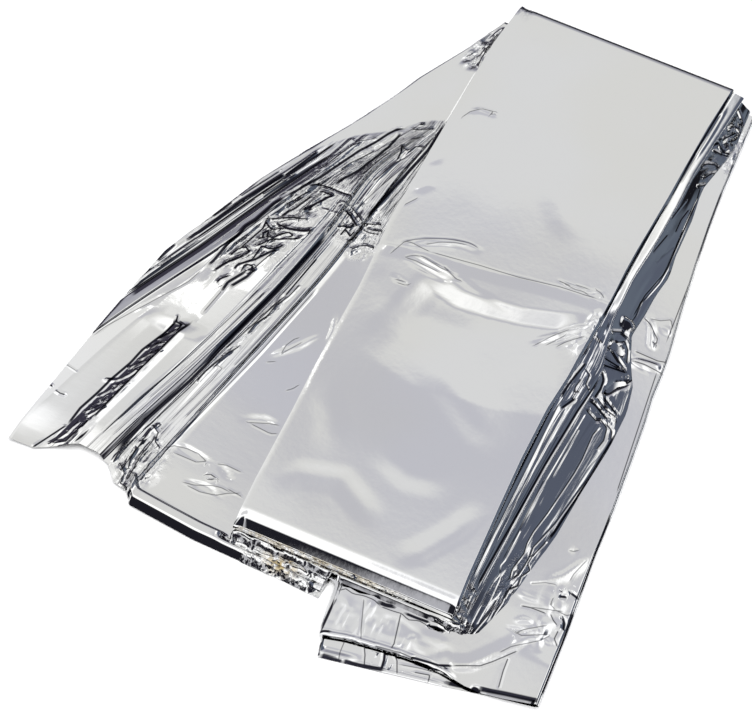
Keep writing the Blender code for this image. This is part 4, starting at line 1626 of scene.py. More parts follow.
# curls at its left
LEFT_CURLS = seen(9.9,
    (FAINT, (403, 242), (415, 239.5), (445, 239), (470, 243), (479, 249)),
    (FAINT, (425, 244.5), (440, 242.5), (455, 243), (468, 245.5)),
    (FAINT, (404, 257), (414, 255.5), (423, 257), (440, 268), (449, 272)),
    (FAINT, (404, 257), (416, 261), (440, 273)),
    (FAINT, (444, 267), (456, 279), (462, 281)),
    (FAINT, (395, 279), (406, 282)),
    (FAINT, (398, 283), (406, 285.5), (411, 284)),
)

# at its right
RIGHT_CURLS = seen(9.9,
    (FAINT, (559, 281), (570, 286)),
    (FAINT, (564, 284), (574, 289), (584, 292), (590, 296)),
    (FAINT, (576, 285), (590, 289.5)),
    (FAINT, (596, 290), (601, 293), (604, 298)),
    (FAINT, (533, 345), (557, 333), (570, 329)),
    (FAINT, (546, 344), (566, 334)),
    (FAINT, (556, 346), (566, 341), (585, 336)),
)

# faint marks towards the far end
FAR_MARKS = seen(9.9,
    (FAINT, (461, 118), (470, 112), (482, 109), (494, 112), (488, 117)),
    (FAINT, (404, 205), (418, 198)),
)

# the shadow line under the strip's turned right edge
BROW_LINE = seen(10.6,
    (RIM, (732, 92), (692, 158), (671, 200)),
    (BROAD_RIM, (671, 200), (646, 240), (624, 280), (614, 300), (603, 318)),
)

WING_MARKS = (OUTER_PLEATS + LONG_PLEATS + CORNER_FOLDS + STRIP_SIDE_PLEATS + ZIG_ZAGS + MARBLE_FOOT +
              STAR_FOLDS + BUNDLE_LINES + BUNDLE_END + FACET_RIMS + PANEL_LINES + FLAT_WRINKLES + FAR_TIP)
BASE_MARKS = RIGHT_EDGE + EDGE_CREASES + NEAR_STRIP + NEAR_BAND + POCKET_FOOT
LOWER_MARKS = LOWER_FLANK + CURLS + POCKET + WEDGE_BORDER + WEDGE_FLECKS + FAR_CRUMPLE
MIDDLE_MARKS = MAIN_LINES + UPPER_FLANK
TOP_MARKS = BROW_LINE + STRIP_CREASE + LEFT_CURLS + RIGHT_CURLS + FAR_MARKS


PASSES = (
    Pass(0, Edge.BASE, (
        (8, -11.3), (25, -11.6), (38.7, -12.4), (39.2, -2.4), (41.7, -2.4), (44.7, -21.2), (47.6, -31.5),
        (64.4, -28.4), (87, -24.2), (105, -20.3), (121, -17.5)),
         far=240.0, fine=((8, 38.7, 1.4), (38.7, 47.6, 1.0), (47.6, 121, 1.5)),
         lifts=(Lift(-42, 1, 7.0, 2.3, peak=0.4, soft=4.0, hold=0.47),
                Lift(-3, 37, 5.0, 2.1, peak=0.52, soft=4.0, hold=0.25),
                Lift(43, 62, 4.0, 0.7, peak=0.4), Lift(58, 92, 1.6, 0.5)),
         details=LIP_DETAILS, marks=UNDER_STRIP, hidden_from=-6.0),
    Pass(1, Edge.BASE, (
        (2, -3.5), (16, -5.0), (40, -5.0), (42, -6.0), (44.6, -24.6), (53, -22.4), (64, -20.9), (73, -20),
        (82, -19.5), (88.5, -20.0), (96, -21.2), (101, -21.0), (109, -19.8), (121, -17.3)),
         far=240.0, fine=((2, 40, 3.0), (40, 46, 1.0), (46, 84, 1.2), (84, 119.2, 0.85), (119.2, 121, 0.32)),
         lifts=(Lift(43, 94, 2.2, 0.5),
                Lift(99, 122, 1.5, -1.15, lip=1.0, peak=0.05, soft=3.0, straight=True)),
         details=BASE_DETAILS, marks=BASE_MARKS, seen_from=Edge.LOWER),
    Pass(2, Edge.LOWER, ((2, -1.5), (50, -1.5), (93, -3.5)),
         far=241.0, fine=((2, 93, 7.0),), hidden_from=-1.0),
    Pass(3, Edge.LOWER, (
        (2, -8.6), (14, -8.4), (28, -8.6), (37, -10.6), (38.5, -10.6), (39.3, -3.2), (42, -3.2), (43, -10.6),
        (50, -9.8), (57, -8.8), (67, -10.0), (75, -10.6), (84, -7.6), (93, -5.0)),
         far=241.5, fine=((2, 38.5, 1.2), (38.5, 43, 1.0), (43, 84, 1.2), (84, 93, 0.36)),
         bend=Bend(-1.8, ((0, 0), (0.4, 14), (1.6, 20), (2.0, 44), (4.3, 46), (4.7, 8), (7.0, 4))),
         details=LOWER_DETAILS, marks=LOWER_MARKS, streaks=0.2, seen_from=Edge.MIDDLE),
    Pass(4, Edge.MIDDLE, ((2, -2.6), (40, -3.6), (84, -3.8), (87, -2.6)),
         far=242.0, fine=((2, 87, 6.0),), hidden_from=0.0),
    Pass(5, Edge.MIDDLE, ((2, -2.8), (40, -2.9), (84, -2.6), (87, -2.2)),
         far=242.5, fine=((2, 76, 3.2), (76, 87, 0.48)),
         details=MIDDLE_DETAILS, marks=MIDDLE_MARKS, streaks=0.35, seen_from=Edge.TOP),
    Pass(7, Edge.TOP, ((2, -4.0), (84.5, -4.0)),
         far=243.5, fine=((2, 80, 1.15), (80, 83.2, 0.45), (83.2, 84.5, 0.26)),
         bend=Bend(5.0, ((0, 0), (2.2, 12), (4.2, 26), (4.6, 38), (7.6, 50), (8.0, 88), (9.0, 92))),
         details=TOP_DETAILS, marks=TOP_MARKS, hidden_from=ALL_SEEN),
    Pass(6, Edge.TOP, ((11, 3.4), (84.5, 2.8)), far=243.0, fine=((11, 84.5, 9.0),), hidden_from=4.0),
)
TOP_PASS = 6  # the top pass's place in the list


@dataclass(frozen=True)
class Rows:
    """Places of the grid's rows along the strip."""

    near: int = 62  # rows between a column's near end and the first shared one
    first: float = 20.0  # the first shared row
    spacing: tuple = ((20, 95, 1.15), (95, 119, 0.95), (119, 136, 0.6), (136, 145, 0.9), (145, 190, 1.15),
                      (190, 236, 1.6))
    last: tuple = (0.0, 0.3, 0.6, 0.85, 0.94, 1.0)  # shares of the way to a column's far end

    def shared(self) -> Grid:
        """Places of the rows that all columns share."""
        runs = [np.arange(start, end, step) for start, end, step in self.spacing]
        return np.concatenate(runs)

    def places(self, near: Grid, far: Grid) -> Grid:
        """Y of every row of each column.

        Args:
            near: each column's near end.
            far: each column's far end.

        Returns:
            One row of places for each column.
        """
        shares = np.linspace(0.0, 1.0, self.near, endpoint=False)
        start = mix(near[:, None], self.first, shares[None, :])
        shared = np.broadcast_to(self.shared(), (len(near), len(self.shared())))
        end = mix(self.spacing[-1][1], far[:, None], np.array(self.last)[None, :])
        return np.concatenate([start, shared, end], axis=1)


@dataclass(frozen=True)
class Gold:
    """Where the film has a golden tint: a patch at the near end, and a thin band above it."""

    middle: tuple = (22.0, -7.0)
    half: tuple = (7.0, 3.5)
    past: float = 1.3  # the patch fades out at this many half sizes
    band_back: tuple = (-3.4, -0.8, 0.3)  # the band's near and far sides, from the strip's end line
    band_across: tuple = (3.0, 60.0, 12.0)
    band_height: tuple = (5.0, 7.0)
    band_strength: float = 0.5

    def patch(self, x: Grid, y: Grid) -> Grid:
        """How strong the patch's tint is at each point."""
        away = np.hypot((x - self.middle[0]) / self.half[0], (y - self.middle[1]) / self.half[1])
        return np.clip(self.past - away, 0.0, 1.0)

    def band(self, x: Grid, y: Grid, z: Grid) -> Grid:
        """How strong the band's tint is at each point."""
        inside = window(y - strip_end(x), *self.band_back) * window(x, *self.band_across)
        return self.band_strength * inside * (z > self.band_height[0]) * (z < self.band_height[1])


GOLD = Gold()


@dataclass
class FoldedFilm:
    """Lays out every column of the film in the order in which it runs."""

    rows: Rows = field(default_factory=Rows)
    wing: Wing = field(default_factory=Wing)
    pile: Pile = field(default_factory=Pile)
    hem: float = 0.5  # how far the open edges turn down
    hem_width: float = 0.7
    hem_span: tuple = (95.0, 130.0)  # where the wing's left hem comes to its full height
    hem_share: float = 0.25  # and its share of that at the near end
    far_hem: tuple = (1.6, 0.9)  # the top's far edge: height in hems, and width
    beside_strip: tuple = (-1.0, 3.0)  # the wing's details fade out next to the strip
    fold_steps: int = 6
    square: float = 0.12  # a left fold's section: 1 is round, 0 is square
    square_rise: tuple = (0.1, 0.9)
    inset: float = 0.6  # where a pass's first column stands beside a left fold
    top_inset: float = 0.8  # the same for the top pass, in pitches
    spare: tuple = (0.2, 0.3)  # the least gap between a pass's columns and its two folds
    tuck_end: float = 9.0
    roll: tuple = (0.6, 3.0)  # the rolled end's share at the strip's two corners, and its width there
    flank_width: tuple = (6.0, 11.0)  # pleats across the flank, near and far
    flank_change: tuple = (100.0, 140.0)
    flank_end: tuple = (2.0, 132.0, 6.0)  # where the flank's finest pleats start and end, and how softly
    flank_wander: tuple = (0.5, 5.0, 16.0)
    flank_offset: float = 40.0  # keeps the pleats of two passes unlike each other
    flank_tuck: float = 2.0  # the pleats go on this far under the pass above
    near_edge: tuple = ((-88, -7), (-77, -6), (-66, 0), (-63, 2), (-56, 2), (-50, 0), (-45, -5), (-39, -6),
                        (-36, -10), (-10, -11.5), (8, -11.2))

    def wing_columns(self) -> Grid:
        """Points of the wing's columns.

        Returns:
            The points, as join gives them.
        """
        near_x = self.wing.places(np.zeros(1))[:, 0]
        near = np.interp(near_x, *zip(*self.near_edge))
        y = self.rows.places(near, np.full_like(near, PASSES[0].far))
        x = np.empty_like(y)
        for row in range(y.shape[1]):
            x[:, row] = self.column_x(y[:, row])
        z = self.pile.floor + self.wing.height(x, y)
        for lift in PASSES[0].lifts:
            z += lift.height_at(x, y - near[:, None])
        z += detail_height(WING_DETAILS, x, y) * soft_step(edge_x(Edge.LEFT, y) - x, *self.beside_strip)
        hem = self.hem * mix(self.hem_share, 1.0, soft_step(y, *self.hem_span))
        z -= hem * (1.0 - soft_step(x - edge_x(Edge.WING, y), 0.0, self.hem_width))
        z -= self.hem * soft_step(y, PASSES[0].far - self.hem_width, PASSES[0].far)
        return self.join(x, y, np.maximum(z, FLOOR_GAP), mark_channels(WING_MARKS, x, y),
                         self.wing.streak_channels(x, y), crumple_share(WING_DETAILS, x, y))

    @staticmethod
    def join(x: Grid, y: Grid, z: Grid, marks: Grid, streaks: Grid, crumpled: Grid) -> Grid:
        """Points with all that the material reads from them.

        Args:
            x: X of the points.
            y: Y of the points.
            z: Z of the points.
            marks: what the sets of marks say.
            streaks: what the finest pleats say.
            crumpled: how crumpled the film is.

        Returns:
            One row of numbers for each point.
        """
        place = np.stack(np.broadcast_arrays(x, y, z), axis=-1)
        golden = np.maximum(GOLD.patch(x, y), GOLD.band(x, y, z)) * np.ones(crumpled.shape)
        wear_and_painted_dark = np.stack([crumpled, golden, np.zeros(crumpled.shape)], axis=-1)
        return np.concatenate([place, marks, streaks, wear_and_painted_dark], axis=-1)

    def column_x(self, y: Grid) -> Grid:
        """X of each wing column at its own place along the strip."""
        return self.wing.places(y).diagonal()

    def run(self, film: Pass, start: Callable[[Grid], Grid], first: float) -> Grid:
        """Points of one pass, left to right.

        Args:
            film: the pass.
            start: gives X of the pass's left limit along the strip.
            first: X at the near end where its columns start.

        Returns:
            Points by column and row.
        """
        near_x = np.concatenate([np.arange(low, high, step) for low, high, step in film.fine])
        near_x = near_x[near_x > first + self.spare[0]]
        radius = 0.5 * self.pile.tight
        end = edge_x(film.right, 0.0) - radius
        near_x = near_x[near_x < end - self.spare[1]]
        share = (near_x - start(np.zeros(1))) / (end - start(np.zeros(1)))
        near = strip_end(near_x) + np.interp(near_x, *zip(*film.near))
        y = self.rows.places(near, np.full_like(near, film.far))
        x = mix(start(y), edge_x(film.right, y) - radius, share[:, None])
        return self.shape(film, x, y, near[:, None])

    def shape(self, film: Pass, x: Grid, y: Grid, near: Grid) -> Grid:
        """Give points of a pass their height, details and bend.

        Args:
            film: the pass.
            x: X of the points.
            y: Y of the points on the flat pass.
            near: the near end of each point's column.

        Returns:
            The points, with all that the material reads from them.
        """
        z = self.pile.height(film.level, x, y)
        for lift in film.lifts:
            z = z + lift.height_at(x, y - near)
        proud = detail_height(film.details, x, y)
        marks, streaks = mark_channels(film.marks, x, y), self.flank_streaks(film, x, y)
        crumpled = crumple_share(film.details, x, y)
        if film.level == TOP_LEVEL:
            height, width = self.far_hem
            z = z - height * self.hem * soft_step(y, film.far - width, film.far)
        if film.bend:
            roll = 1.0
            if film.level == TOP_LEVEL:
                corner, width = self.roll
                inside = np.minimum(x - edge_x(Edge.LEFT, 0.0), edge_x(Edge.TOP, 0.0) - x)
                roll = mix(corner, 1.0, soft_step(inside, 0.0, width))
            bent_y, bent_z = film.bend.carry(y, z, strip_end(x) + film.bend.start, proud)
            y, z = mix(y, bent_y, roll), mix(z + proud, bent_z, roll)
        else:
            z = z + proud
        return self.join(x, y, np.maximum(z, FLOOR_GAP), marks, streaks, crumpled)

    def flank_streaks(self, film: Pass, x: Grid, y: Grid) -> Grid:
        """What the material reads to draw the finest pleats of the flank.

        Args:
            film: the pass.
            x: X of the points.
            y: Y of the points.

        Returns:
            Place across and along the flank, and how strong the pleats are.
        """
        upper = film.level >= MIDDLE_LEVELS[0]
        inner, outer = (Edge.TOP, Edge.MIDDLE) if upper else (Edge.MIDDLE, Edge.LOWER)
        low, high = edge_x(inner, y), edge_x(outer, y)
        across = (x - low) / (high - low) * mix(*self.flank_width, 1.0 - soft_step(y, *self.flank_change))
        far, width, length = self.flank_wander
        across = across + far * drift(x / width, y / length, seed=47) + self.flank_offset * film.level
        weight = film.streaks * window(y, *self.flank_end) * soft_step(x, 0.0, 1.0)
        weight = weight * (x > low - self.flank_tuck)
        return np.stack(np.broadcast_arrays(across, y, weight), axis=-1)

    def fold(self, lower: Pass, upper: Pass, at_right: bool) -> Grid:
        """Points around the fold that joins two passes.

        Args:
            lower: the pass below the fold.
            upper: the pass above it.
            at_right: whether it is the fold of their right edges.

        Returns:
            Points by column and row.
        """
        edge = upper.right if at_right else Edge.LEFT
        side = 1.0 if at_right else -1.0
        rim_x = edge_x(edge, 0.0)
        ends = [film.near[-1][1] if at_right else film.near[0][1] for film in (lower, upper)]
        share = np.linspace(0.0, 1.0, self.fold_steps + 1)
        near = strip_end(rim_x) + mix(ends[0], ends[1], share)
        y = self.rows.places(near, mix(lower.far, upper.far, share))
        rim = edge_x(edge, y)
        low = self.shape(lower, rim, y, near[:, None])
        high = self.shape(upper, rim, y, near[:, None])
        turn = pi * share[:, None]
        radius = 0.5 * np.abs(high[..., 2] - low[..., 2])
        x = rim + side * radius * (np.sin(turn) ** (1.0 if at_right else self.square) - 1.0)
        half = 0.5 * (1.0 - np.cos(turn))
        if not at_right:
            half = soft_step(share, *self.square_rise)[:, None]
        bent = [mix(low[..., axis], high[..., axis], half) for axis in (1, 2)]
        rest = np.where(share[:, None, None] < 0.5, low[..., 3:], high[..., 3:])
        return np.concatenate([np.stack([x] + bent, axis=-1), rest], axis=-1)

    def columns(self) -> tuple:
        """All the columns of the film.

        Returns:
            The points by column and row, for each column the pass that it belongs to, or None on a
            fold or on the wing, and the columns that are hard corners.
        """
        tuck = self.wing.tuck_x
        parts = [self.wing_columns(), self.run(PASSES[0], lambda y: np.full_like(y, tuck), tuck)]
        owners = [None] * len(parts[0]) + [PASSES[0]] * len(parts[1])
        corners = []
        for index in range(1, len(PASSES)):
            lower, upper = PASSES[index - 1], PASSES[index]
            at_right = index % 2 == 1
            bend = self.fold(lower, upper, at_right)
            inset = self.inset if index != TOP_PASS else self.top_inset * self.pile.pitch
            if index == len(PASSES) - 1:
                inset = self.tuck_end
            run = self.run(upper, lambda y, inset=inset: edge_x(Edge.LEFT, y) + inset,
                           edge_x(Edge.LEFT, 0.0) + inset)
            parts += [bend, run[::-1] if at_right else run]
            if not at_right:
                corners += [len(owners) + 1, len(owners) + len(bend) - 2]
            owners += [None] * len(bend) + [upper] * len(run)
        return np.concatenate(parts), owners, corners


# -------------------- meshes


MARK_CHANNELS = tuple((f"mark place {number}", f"mark size {number}") for number in range(MARK_SETS))
CHANNEL_NAMES = sum(MARK_CHANNELS, ()) + ("streaks", "wear_and_painted_dark")
UV_MAP = "flat film"


@dataclass
class FilmMesh:
    """Makes the folded film's mesh from its columns."""

    film: FoldedFilm
    shift: tuple = SHIFT
    weld: float = 2e-6  # in metres
    seen_margin: float = 3.0  # film this close to an edge counts as in sight
    thin_step: int = 4  # hidden film keeps every fourth line of the grid
    plain_wing: float = 188.0  # past this the wing is flat and keeps every second column
    wing_margin: int = 4  # but for the columns next to the strip
    straight_folds: float = 26.0  # past this the folds keep every third row
    fold_step: int = 3
    flat: tuple = ()  # the film's flat length and width

    def build(self) -> bpy.types.Object:
        """Make the film.

        Returns:
            The film's object, with its flat layout as its UV map.
        """
        table, owners, corners = self.film.columns()
        points, channels = table[..., :3], table[..., 3:]
        count, rows = points.shape[:2]
        steps = np.linalg.norm(np.diff(points, axis=0), axis=2)
        across = np.concatenate([[0.0], np.cumsum(np.median(steps, axis=1))])
        steps = np.abs(np.diff(points[..., 1], axis=1))
        along = np.concatenate([[0.0], np.cumsum(np.median(steps, axis=0))])
        mesh = bmesh.new()
        bmesh.ops.create_grid(mesh, x_segments=count - 1, y_segments=rows - 1, size=1.0)
        mesh.verts.ensure_lookup_table()
        half_count, half_rows = 0.5 * (count - 1), 0.5 * (rows - 1)
        spots = [(round((vertex.co.x + 1.0) * half_count), round((vertex.co.y + 1.0) * half_rows))
                 for vertex in mesh.verts]
        self.lay_uv(mesh, dict(zip(mesh.verts, spots)), across, along)
        layers = [mesh.verts.layers.float_vector.new(name) for name in CHANNEL_NAMES]
        layout = dict(zip(mesh.verts, spots))
        for vertex, spot in layout.items():
            vertex.co = Vector((points[spot] + self.shift) * MM)
            for layer, numbers in zip(layers, channels[spot].reshape(-1, 3)):
                vertex[layer] = Vector(numbers)
        for edge in mesh.edges:
            first, second = (layout[vertex][0] for vertex in edge.verts)
            edge.smooth = first != second or first not in corners
        self.thin_hidden(mesh, layout, owners, points)
        bmesh.ops.remove_doubles(mesh, verts=mesh.verts, dist=self.weld)
        data = bpy.data.meshes.new("foil film")
        mesh.to_mesh(data)
        mesh.free()
        for polygon in data.polygons:
            polygon.use_smooth = True
        piece = bpy.data.objects.new("foil_film", data)
        bpy.context.scene.collection.objects.link(piece)
        self.flat = (across[-1], along[-1])
        return piece

    @staticmethod
    def lay_uv(mesh: bmesh.types.BMesh, layout: dict, across: Grid, along: Grid) -> None:
        """Write the flat film's layout as the UV map, one unit to a metre.

        Args:
            mesh: the film.
            layout: each vertex's column and row.
            across: place of each column on the flat film.
            along: place of each row on it.
        """
        layer = mesh.loops.layers.uv.new(UV_MAP)
        for face in mesh.faces:
            for loop in face.loops:
                column, row = layout[loop.vert]
                loop[layer].uv = (across[column] * MM, along[row] * MM)

    def thin_hidden(self, mesh: bmesh.types.BMesh, layout: dict, owners: list, points: Grid) -> None:
        """Take most of the grid's lines out of the film that lies out of sight.

        Args:
            mesh: the film.
            layout: each vertex's column and row.
            owners: each column's pass.
            points: the film's points by column and row.
        """
        hidden = np.zeros(points.shape[:2], bool)
        for column, film in enumerate(owners[:-1]):
            if film is not None and owners[column + 1] is film:
                x, y = points[column, :, 0], points[column, :, 1]
                limit = edge_x(film.seen_from or film.right, y) - self.seen_margin
                hidden[column] = (y > film.hidden_from) & (x < limit)
        wing_end = owners.index(PASSES[0])
        plain_end = wing_end - self.wing_margin
        plain = np.zeros(points.shape[:2], bool)
        plain[:plain_end] = points[:plain_end, :, 1] > self.plain_wing
        folds = np.array([column > wing_end and film is None for column, film in enumerate(owners)])
        straight = folds[:, None] & (points[..., 1] > self.straight_folds)
        edges = []
        for edge in mesh.edges:
            (c0, r0), (c1, r1) = (layout[vertex] for vertex in edge.verts)
            column, row = min(c0, c1), min(r0, r1)
            under = hidden[c0, r0] and hidden[c1, r1]
            if c0 == c1:
                spare = column % 2 and plain[c0, r0] and plain[c1, r1] and column + 1 < plain_end
                thin = (under and column % self.thin_step and hidden[column - 1, row]
                        and hidden[column - 1, row + 1])
            else:
                spare = (row % self.fold_step and straight[c0, row] and straight[c1, row]
                         and straight[c0, row - 1])
                thin = (under and row % self.thin_step and hidden[column, row - 1]
                        and hidden[column + 1, row - 1])
            if spare or thin:
                edges.append(edge)
        bmesh.ops.dissolve_edges(mesh, edges=edges, use_verts=True, use_face_split=False)


# -------------------- finishes


class Signal:
    """A shader socket that takes part in Python expressions."""

    def __init__(self, nodes: "Nodes", socket: Socket) -> None:
        """Wrap a socket."""
        self.nodes = nodes
        self.socket = socket

    def math(self, operation: str, *others: Any) -> "Signal":
        """Add a Math node with the signal first."""
        return self.nodes.math(operation, self, *others)

    def __add__(self, other: Any) -> "Signal":
        """Sum."""
        return self.math("ADD", other)

    __radd__ = __add__

    def __mul__(self, other: Any) -> "Signal":
        """Product."""
        return self.math("MULTIPLY", other)

    __rmul__ = __mul__

    def __sub__(self, other: Any) -> "Signal":
        """Difference."""
        return self.math("SUBTRACT", other)

    def __rsub__(self, other: Any) -> "Signal":
        """Difference from a value."""
        return self.nodes.math("SUBTRACT", other, self)

    def __truediv__(self, other: Any) -> "Signal":
        """Quotient."""
        return self.math("DIVIDE", other)

    def __pow__(self, other: Any) -> "Signal":
        """Power."""
        return self.math("POWER", other)

    def __abs__(self) -> "Signal":
        """Size without its sign."""
        return self.math("ABSOLUTE")

    def most(self, other: Any) -> "Signal":
        """The greater of two."""
        return self.math("MAXIMUM", other)

    def step(self, start: float, end: float) -> "Signal":
        """0 before start, 1 past end, and a smooth rise between them; end may be the lower one.

        Args:
            start: where the rise starts.
            end: where it ends.

        Returns:
            The share of the way.
        """
        rising = start < end
        node = self.nodes.add("ShaderNodeMapRange", {"interpolation_type": "SMOOTHSTEP", "clamp": True},
                              Value=self, From_Min=min(start, end), From_Max=max(start, end),
                              To_Min=0.0 if rising else 1.0, To_Max=1.0 if rising else 0.0)
        return self.nodes.signal(node, "Result")


class Nodes:
    """Adds nodes to a node tree."""

    def __init__(self, tree: bpy.types.NodeTree) -> None:
        """Start on a tree with no nodes."""
        self.tree = tree
        tree.nodes.clear()

    def add(self, kind: str, settings: dict = None, sockets: dict = None, **named: Any) -> bpy.types.Node:
        """Add a node.

        Args:
            kind: the node's type.
            settings: properties that are set first.
            sockets: values or signals by socket number.
            named: values or signals by socket name, with _ for a blank.

        Returns:
            The node.
        """
        node = self.tree.nodes.new(kind)
        for name, value in (settings or {}).items():
            setattr(node, name, value)
        entries = [(node.inputs[index], value) for index, value in (sockets or {}).items()]
        for name, value in named.items():
            title = name.replace("_", " ")
            socket = next(entry for entry in node.inputs if entry.name == title and entry.enabled)
            entries.append((socket, value))
        for socket, value in entries:
            if isinstance(value, Signal):
                self.tree.links.new(value.socket, socket)
            else:
                socket.default_value = value
        return node

    def signal(self, node: bpy.types.Node, output: Union[int, str] = 0) -> Signal:
        """Wrap one output of a node."""
        return Signal(self, node.outputs[output])

    def math(self, operation: str, *values: Any) -> Signal:
        """Add a Math node."""
        return self.signal(self.add("ShaderNodeMath", {"operation": operation}, dict(enumerate(values))))

    def split(self, vector: Signal) -> list:
        """The three numbers of a vector."""
        parts = self.add("ShaderNodeSeparateXYZ", Vector=vector)
        return [self.signal(parts, index) for index in range(3)]

    def noise(self, place: Signal, scale: float, detail: float) -> Signal:
        """Noise, from 0 to 1."""
        return self.signal(self.add("ShaderNodeTexNoise", {"noise_dimensions": "2D"},
                                    Vector=place, Scale=scale, Detail=detail))

    def vector(self, x: Signal, y: Signal) -> Signal:
        """A vector of two signals."""
        return self.signal(self.add("ShaderNodeCombineXYZ", X=x, Y=y))

    def scaled(self, vector: Signal, scale: float) -> Signal:
        """A vector times a number."""
        return self.signal(self.add("ShaderNodeVectorMath", {"operation": "SCALE"}, {0: vector, 3: scale}))

    def difference(self, first: Signal, second: Any) -> Signal:
        """One vector less another."""
        return self.signal(self.add("ShaderNodeVectorMath", {"operation": "SUBTRACT"}, {0: first, 1: second}))

    def dot(self, first: Signal, second: Signal) -> Signal:
        """Dot product of two vectors."""
        node = self.add("ShaderNodeVectorMath", {"operation": "DOT_PRODUCT"}, {0: first, 1: second})
        return self.signal(node, "Value")

    def blend(self, share: Any, low: Any, high: Any) -> Signal:
        """Mix two colours."""
        return self.signal(self.add("ShaderNodeMix", {"data_type": "RGBA"}, {0: share, 6: low, 7: high}), 2)


@dataclass(frozen=True)
class FilmFinish:
    """Metallised film: mirror-bright, a little cool, with painted dark along fold lines and on some pleats, a
    painted reflection of the dark walls.

    The finest pleats, crumples and fold lines are bump, laid by the mesh's own attributes.
    """

    colour: tuple = (0.87, 0.875, 0.885, 1.0)
    warm: tuple = (0.86, 0.86, 0.845, 1.0)
    # the colour of the painted dark reflection along fold lines and on dark pleats
    painted_dark: tuple = (0.022, 0.022, 0.032, 1.0)
    golden: tuple = (0.50, 0.40, 0.22, 1.0)
    smooth: float = 0.045  # roughness of the smooth film
    creased: float = 0.11  # and of the fold lines with painted dark reflection
    tint_scale: float = 14.0  # of the noise that mixes the two tints, to a metre
    tint_soft: tuple = (0.35, 0.65)
    ripple_scale: float = 34.0
    ripple: float = 0.16  # height of the soft ripples, in millimetres
    grain_scale: float = 420.0
    grain: float = 0.012  # and of the grain
    grain_rough: float = 0.02
    golden_grain: tuple = (0.35, 0.6)  # grain between which the gold comes in
    rough_grain: tuple = (0.4, 0.8)  # and the film gets rougher
    pleat_scales: tuple = ((0.55, 0.02), (1.5, 0.05), (0.8, 0.025))  # broad, fine and painted dark: across, along
    pleat_offsets: tuple = (40.0, 90.0)  # keep the fine and painted-dark pleats apart from the broad ones
    pleat_heights: tuple = (0.55, 0.10)
    pleat_painted_dark: tuple = (0.60, 0.66)  # noise between which a pleat goes from clean to painted dark, a painted dark reflection
    pleat_tone: float = 0.6
    facets: tuple = ((620.0, 1.2), (1300.0, 0.6))  # scale and slope, coarse and fine
    line_near: tuple = (1.9, 1.25)  # a mark's darkness ends between these distances
    ridge_near: tuple = (3.6, 3.0)  # and so does its ridge
    line_soft: tuple = (1.35, 0.65)  # a dark line's soft edge, in its half widths
    least_half: float = 0.05

    def make(self) -> bpy.types.Material:
        """Build the material.

        Returns:
            The material.
        """
        material = bpy.data.materials.new("metallised film")
        material.use_nodes = True
        nodes = Nodes(material.node_tree)
        flat = nodes.signal(nodes.add("ShaderNodeUVMap", {"uv_map": UV_MAP}))
        lines, ridges = self.fold_lines(nodes)
        across, along, strength = self.channel(nodes, "streaks")
        streaks, dark = self.pleats(nodes, across, along)
        crumpled, golden, _ = self.channel(nodes, "wear_and_painted_dark")
        tint = nodes.noise(flat, self.tint_scale, 2.0)
        ripple = nodes.noise(flat, self.ripple_scale, 1.0)
        grain = nodes.noise(flat, self.grain_scale, 3.0)
        height = (ridges + streaks * strength + self.small_facets(nodes, flat) * crumpled
                  + (ripple - 0.5) * self.ripple + (grain - 0.5) * self.grain)
        bump = nodes.add("ShaderNodeBump", Height=height, Distance=MM, Strength=1.0)
        # painted dark reflection: the fold lines' and pleats' darkness, to be painted into the base colour
        wear_and_painted_dark = lines.most(dark * strength)
        colour = nodes.blend(tint.step(*self.tint_soft), self.warm, self.colour)
        colour = nodes.blend(golden * grain.step(*self.golden_grain), colour, self.golden)
        # paint the dark reflection into the film's colour
        colour = nodes.blend(wear_and_painted_dark, colour, self.painted_dark)
        rough = (wear_and_painted_dark.most(crumpled * 0.5) * (self.creased - self.smooth) + self.smooth
                 + grain.step(*self.rough_grain) * self.grain_rough)
        shader = nodes.add("ShaderNodeBsdfPrincipled", Base_Color=colour, Metallic=1.0, Roughness=rough,
                           Normal=nodes.signal(bump))
        nodes.add("ShaderNodeOutputMaterial", Surface=nodes.signal(shader))
        return material

    @staticmethod
    def channel(nodes: Nodes, name: str) -> list:
        """The three numbers of one of the mesh's attributes."""
        source = nodes.add("ShaderNodeAttribute", {"attribute_name": name})
        return nodes.split(nodes.signal(source, "Vector"))

    def fold_lines(self, nodes: Nodes) -> tuple:
        """The marks.

        Args:
            nodes: the material's nodes.

        Returns:
            How dark the lines are painted, a painted reflection of the dark walls, and the height of the
            small ridges that the marks stand on.
        """
        clear, ridges = None, None
        for place, size in MARK_CHANNELS:
            side, plain, tone = self.channel(nodes, place)
            half, slope, reach = self.channel(nodes, size)
            near = plain.step(*self.line_near)
            away = abs(side)
            dark = (away / half.most(self.least_half)).step(*self.line_soft) * tone * near
            ridge = (reach - away).most(0.0) * slope * plain.step(*self.ridge_near)
            clear = 1.0 - dark if clear is None else clear * (1.0 - dark)
            ridges = ridge if ridges is None else ridges + ridge
        return 1.0 - clear, ridges

    def pleats(self, nodes: Nodes, across: Signal, along: Signal) -> tuple:
        """The finest pleats.

        Args:
            nodes: the material's nodes.
            across: place across the pleats.
            along: place along them.

        Returns:
            Their height, and how dark they are painted, as a painted dark reflection.
        """
        (broad_x, broad_y), (fine_x, fine_y), (painted_dark_x, painted_dark_y) = self.pleat_scales
        fine_at, painted_dark_at = self.pleat_offsets
        broad = nodes.noise(nodes.vector(across * broad_x, along * broad_y), 1.0, 1.0)
        fine = nodes.noise(nodes.vector(across * fine_x + fine_at, along * fine_y), 1.0, 2.0)
        # painted dark reflection: this noise picks the pleats that are painted dark
        painted_dark = nodes.noise(nodes.vector(across * painted_dark_x + painted_dark_at, along * painted_dark_y), 1.0, 1.5)
        height = abs(broad - 0.5) * self.pleat_heights[0] + abs(fine - 0.5) * self.pleat_heights[1]
        return height, painted_dark.step(*self.pleat_painted_dark) * self.pleat_tone

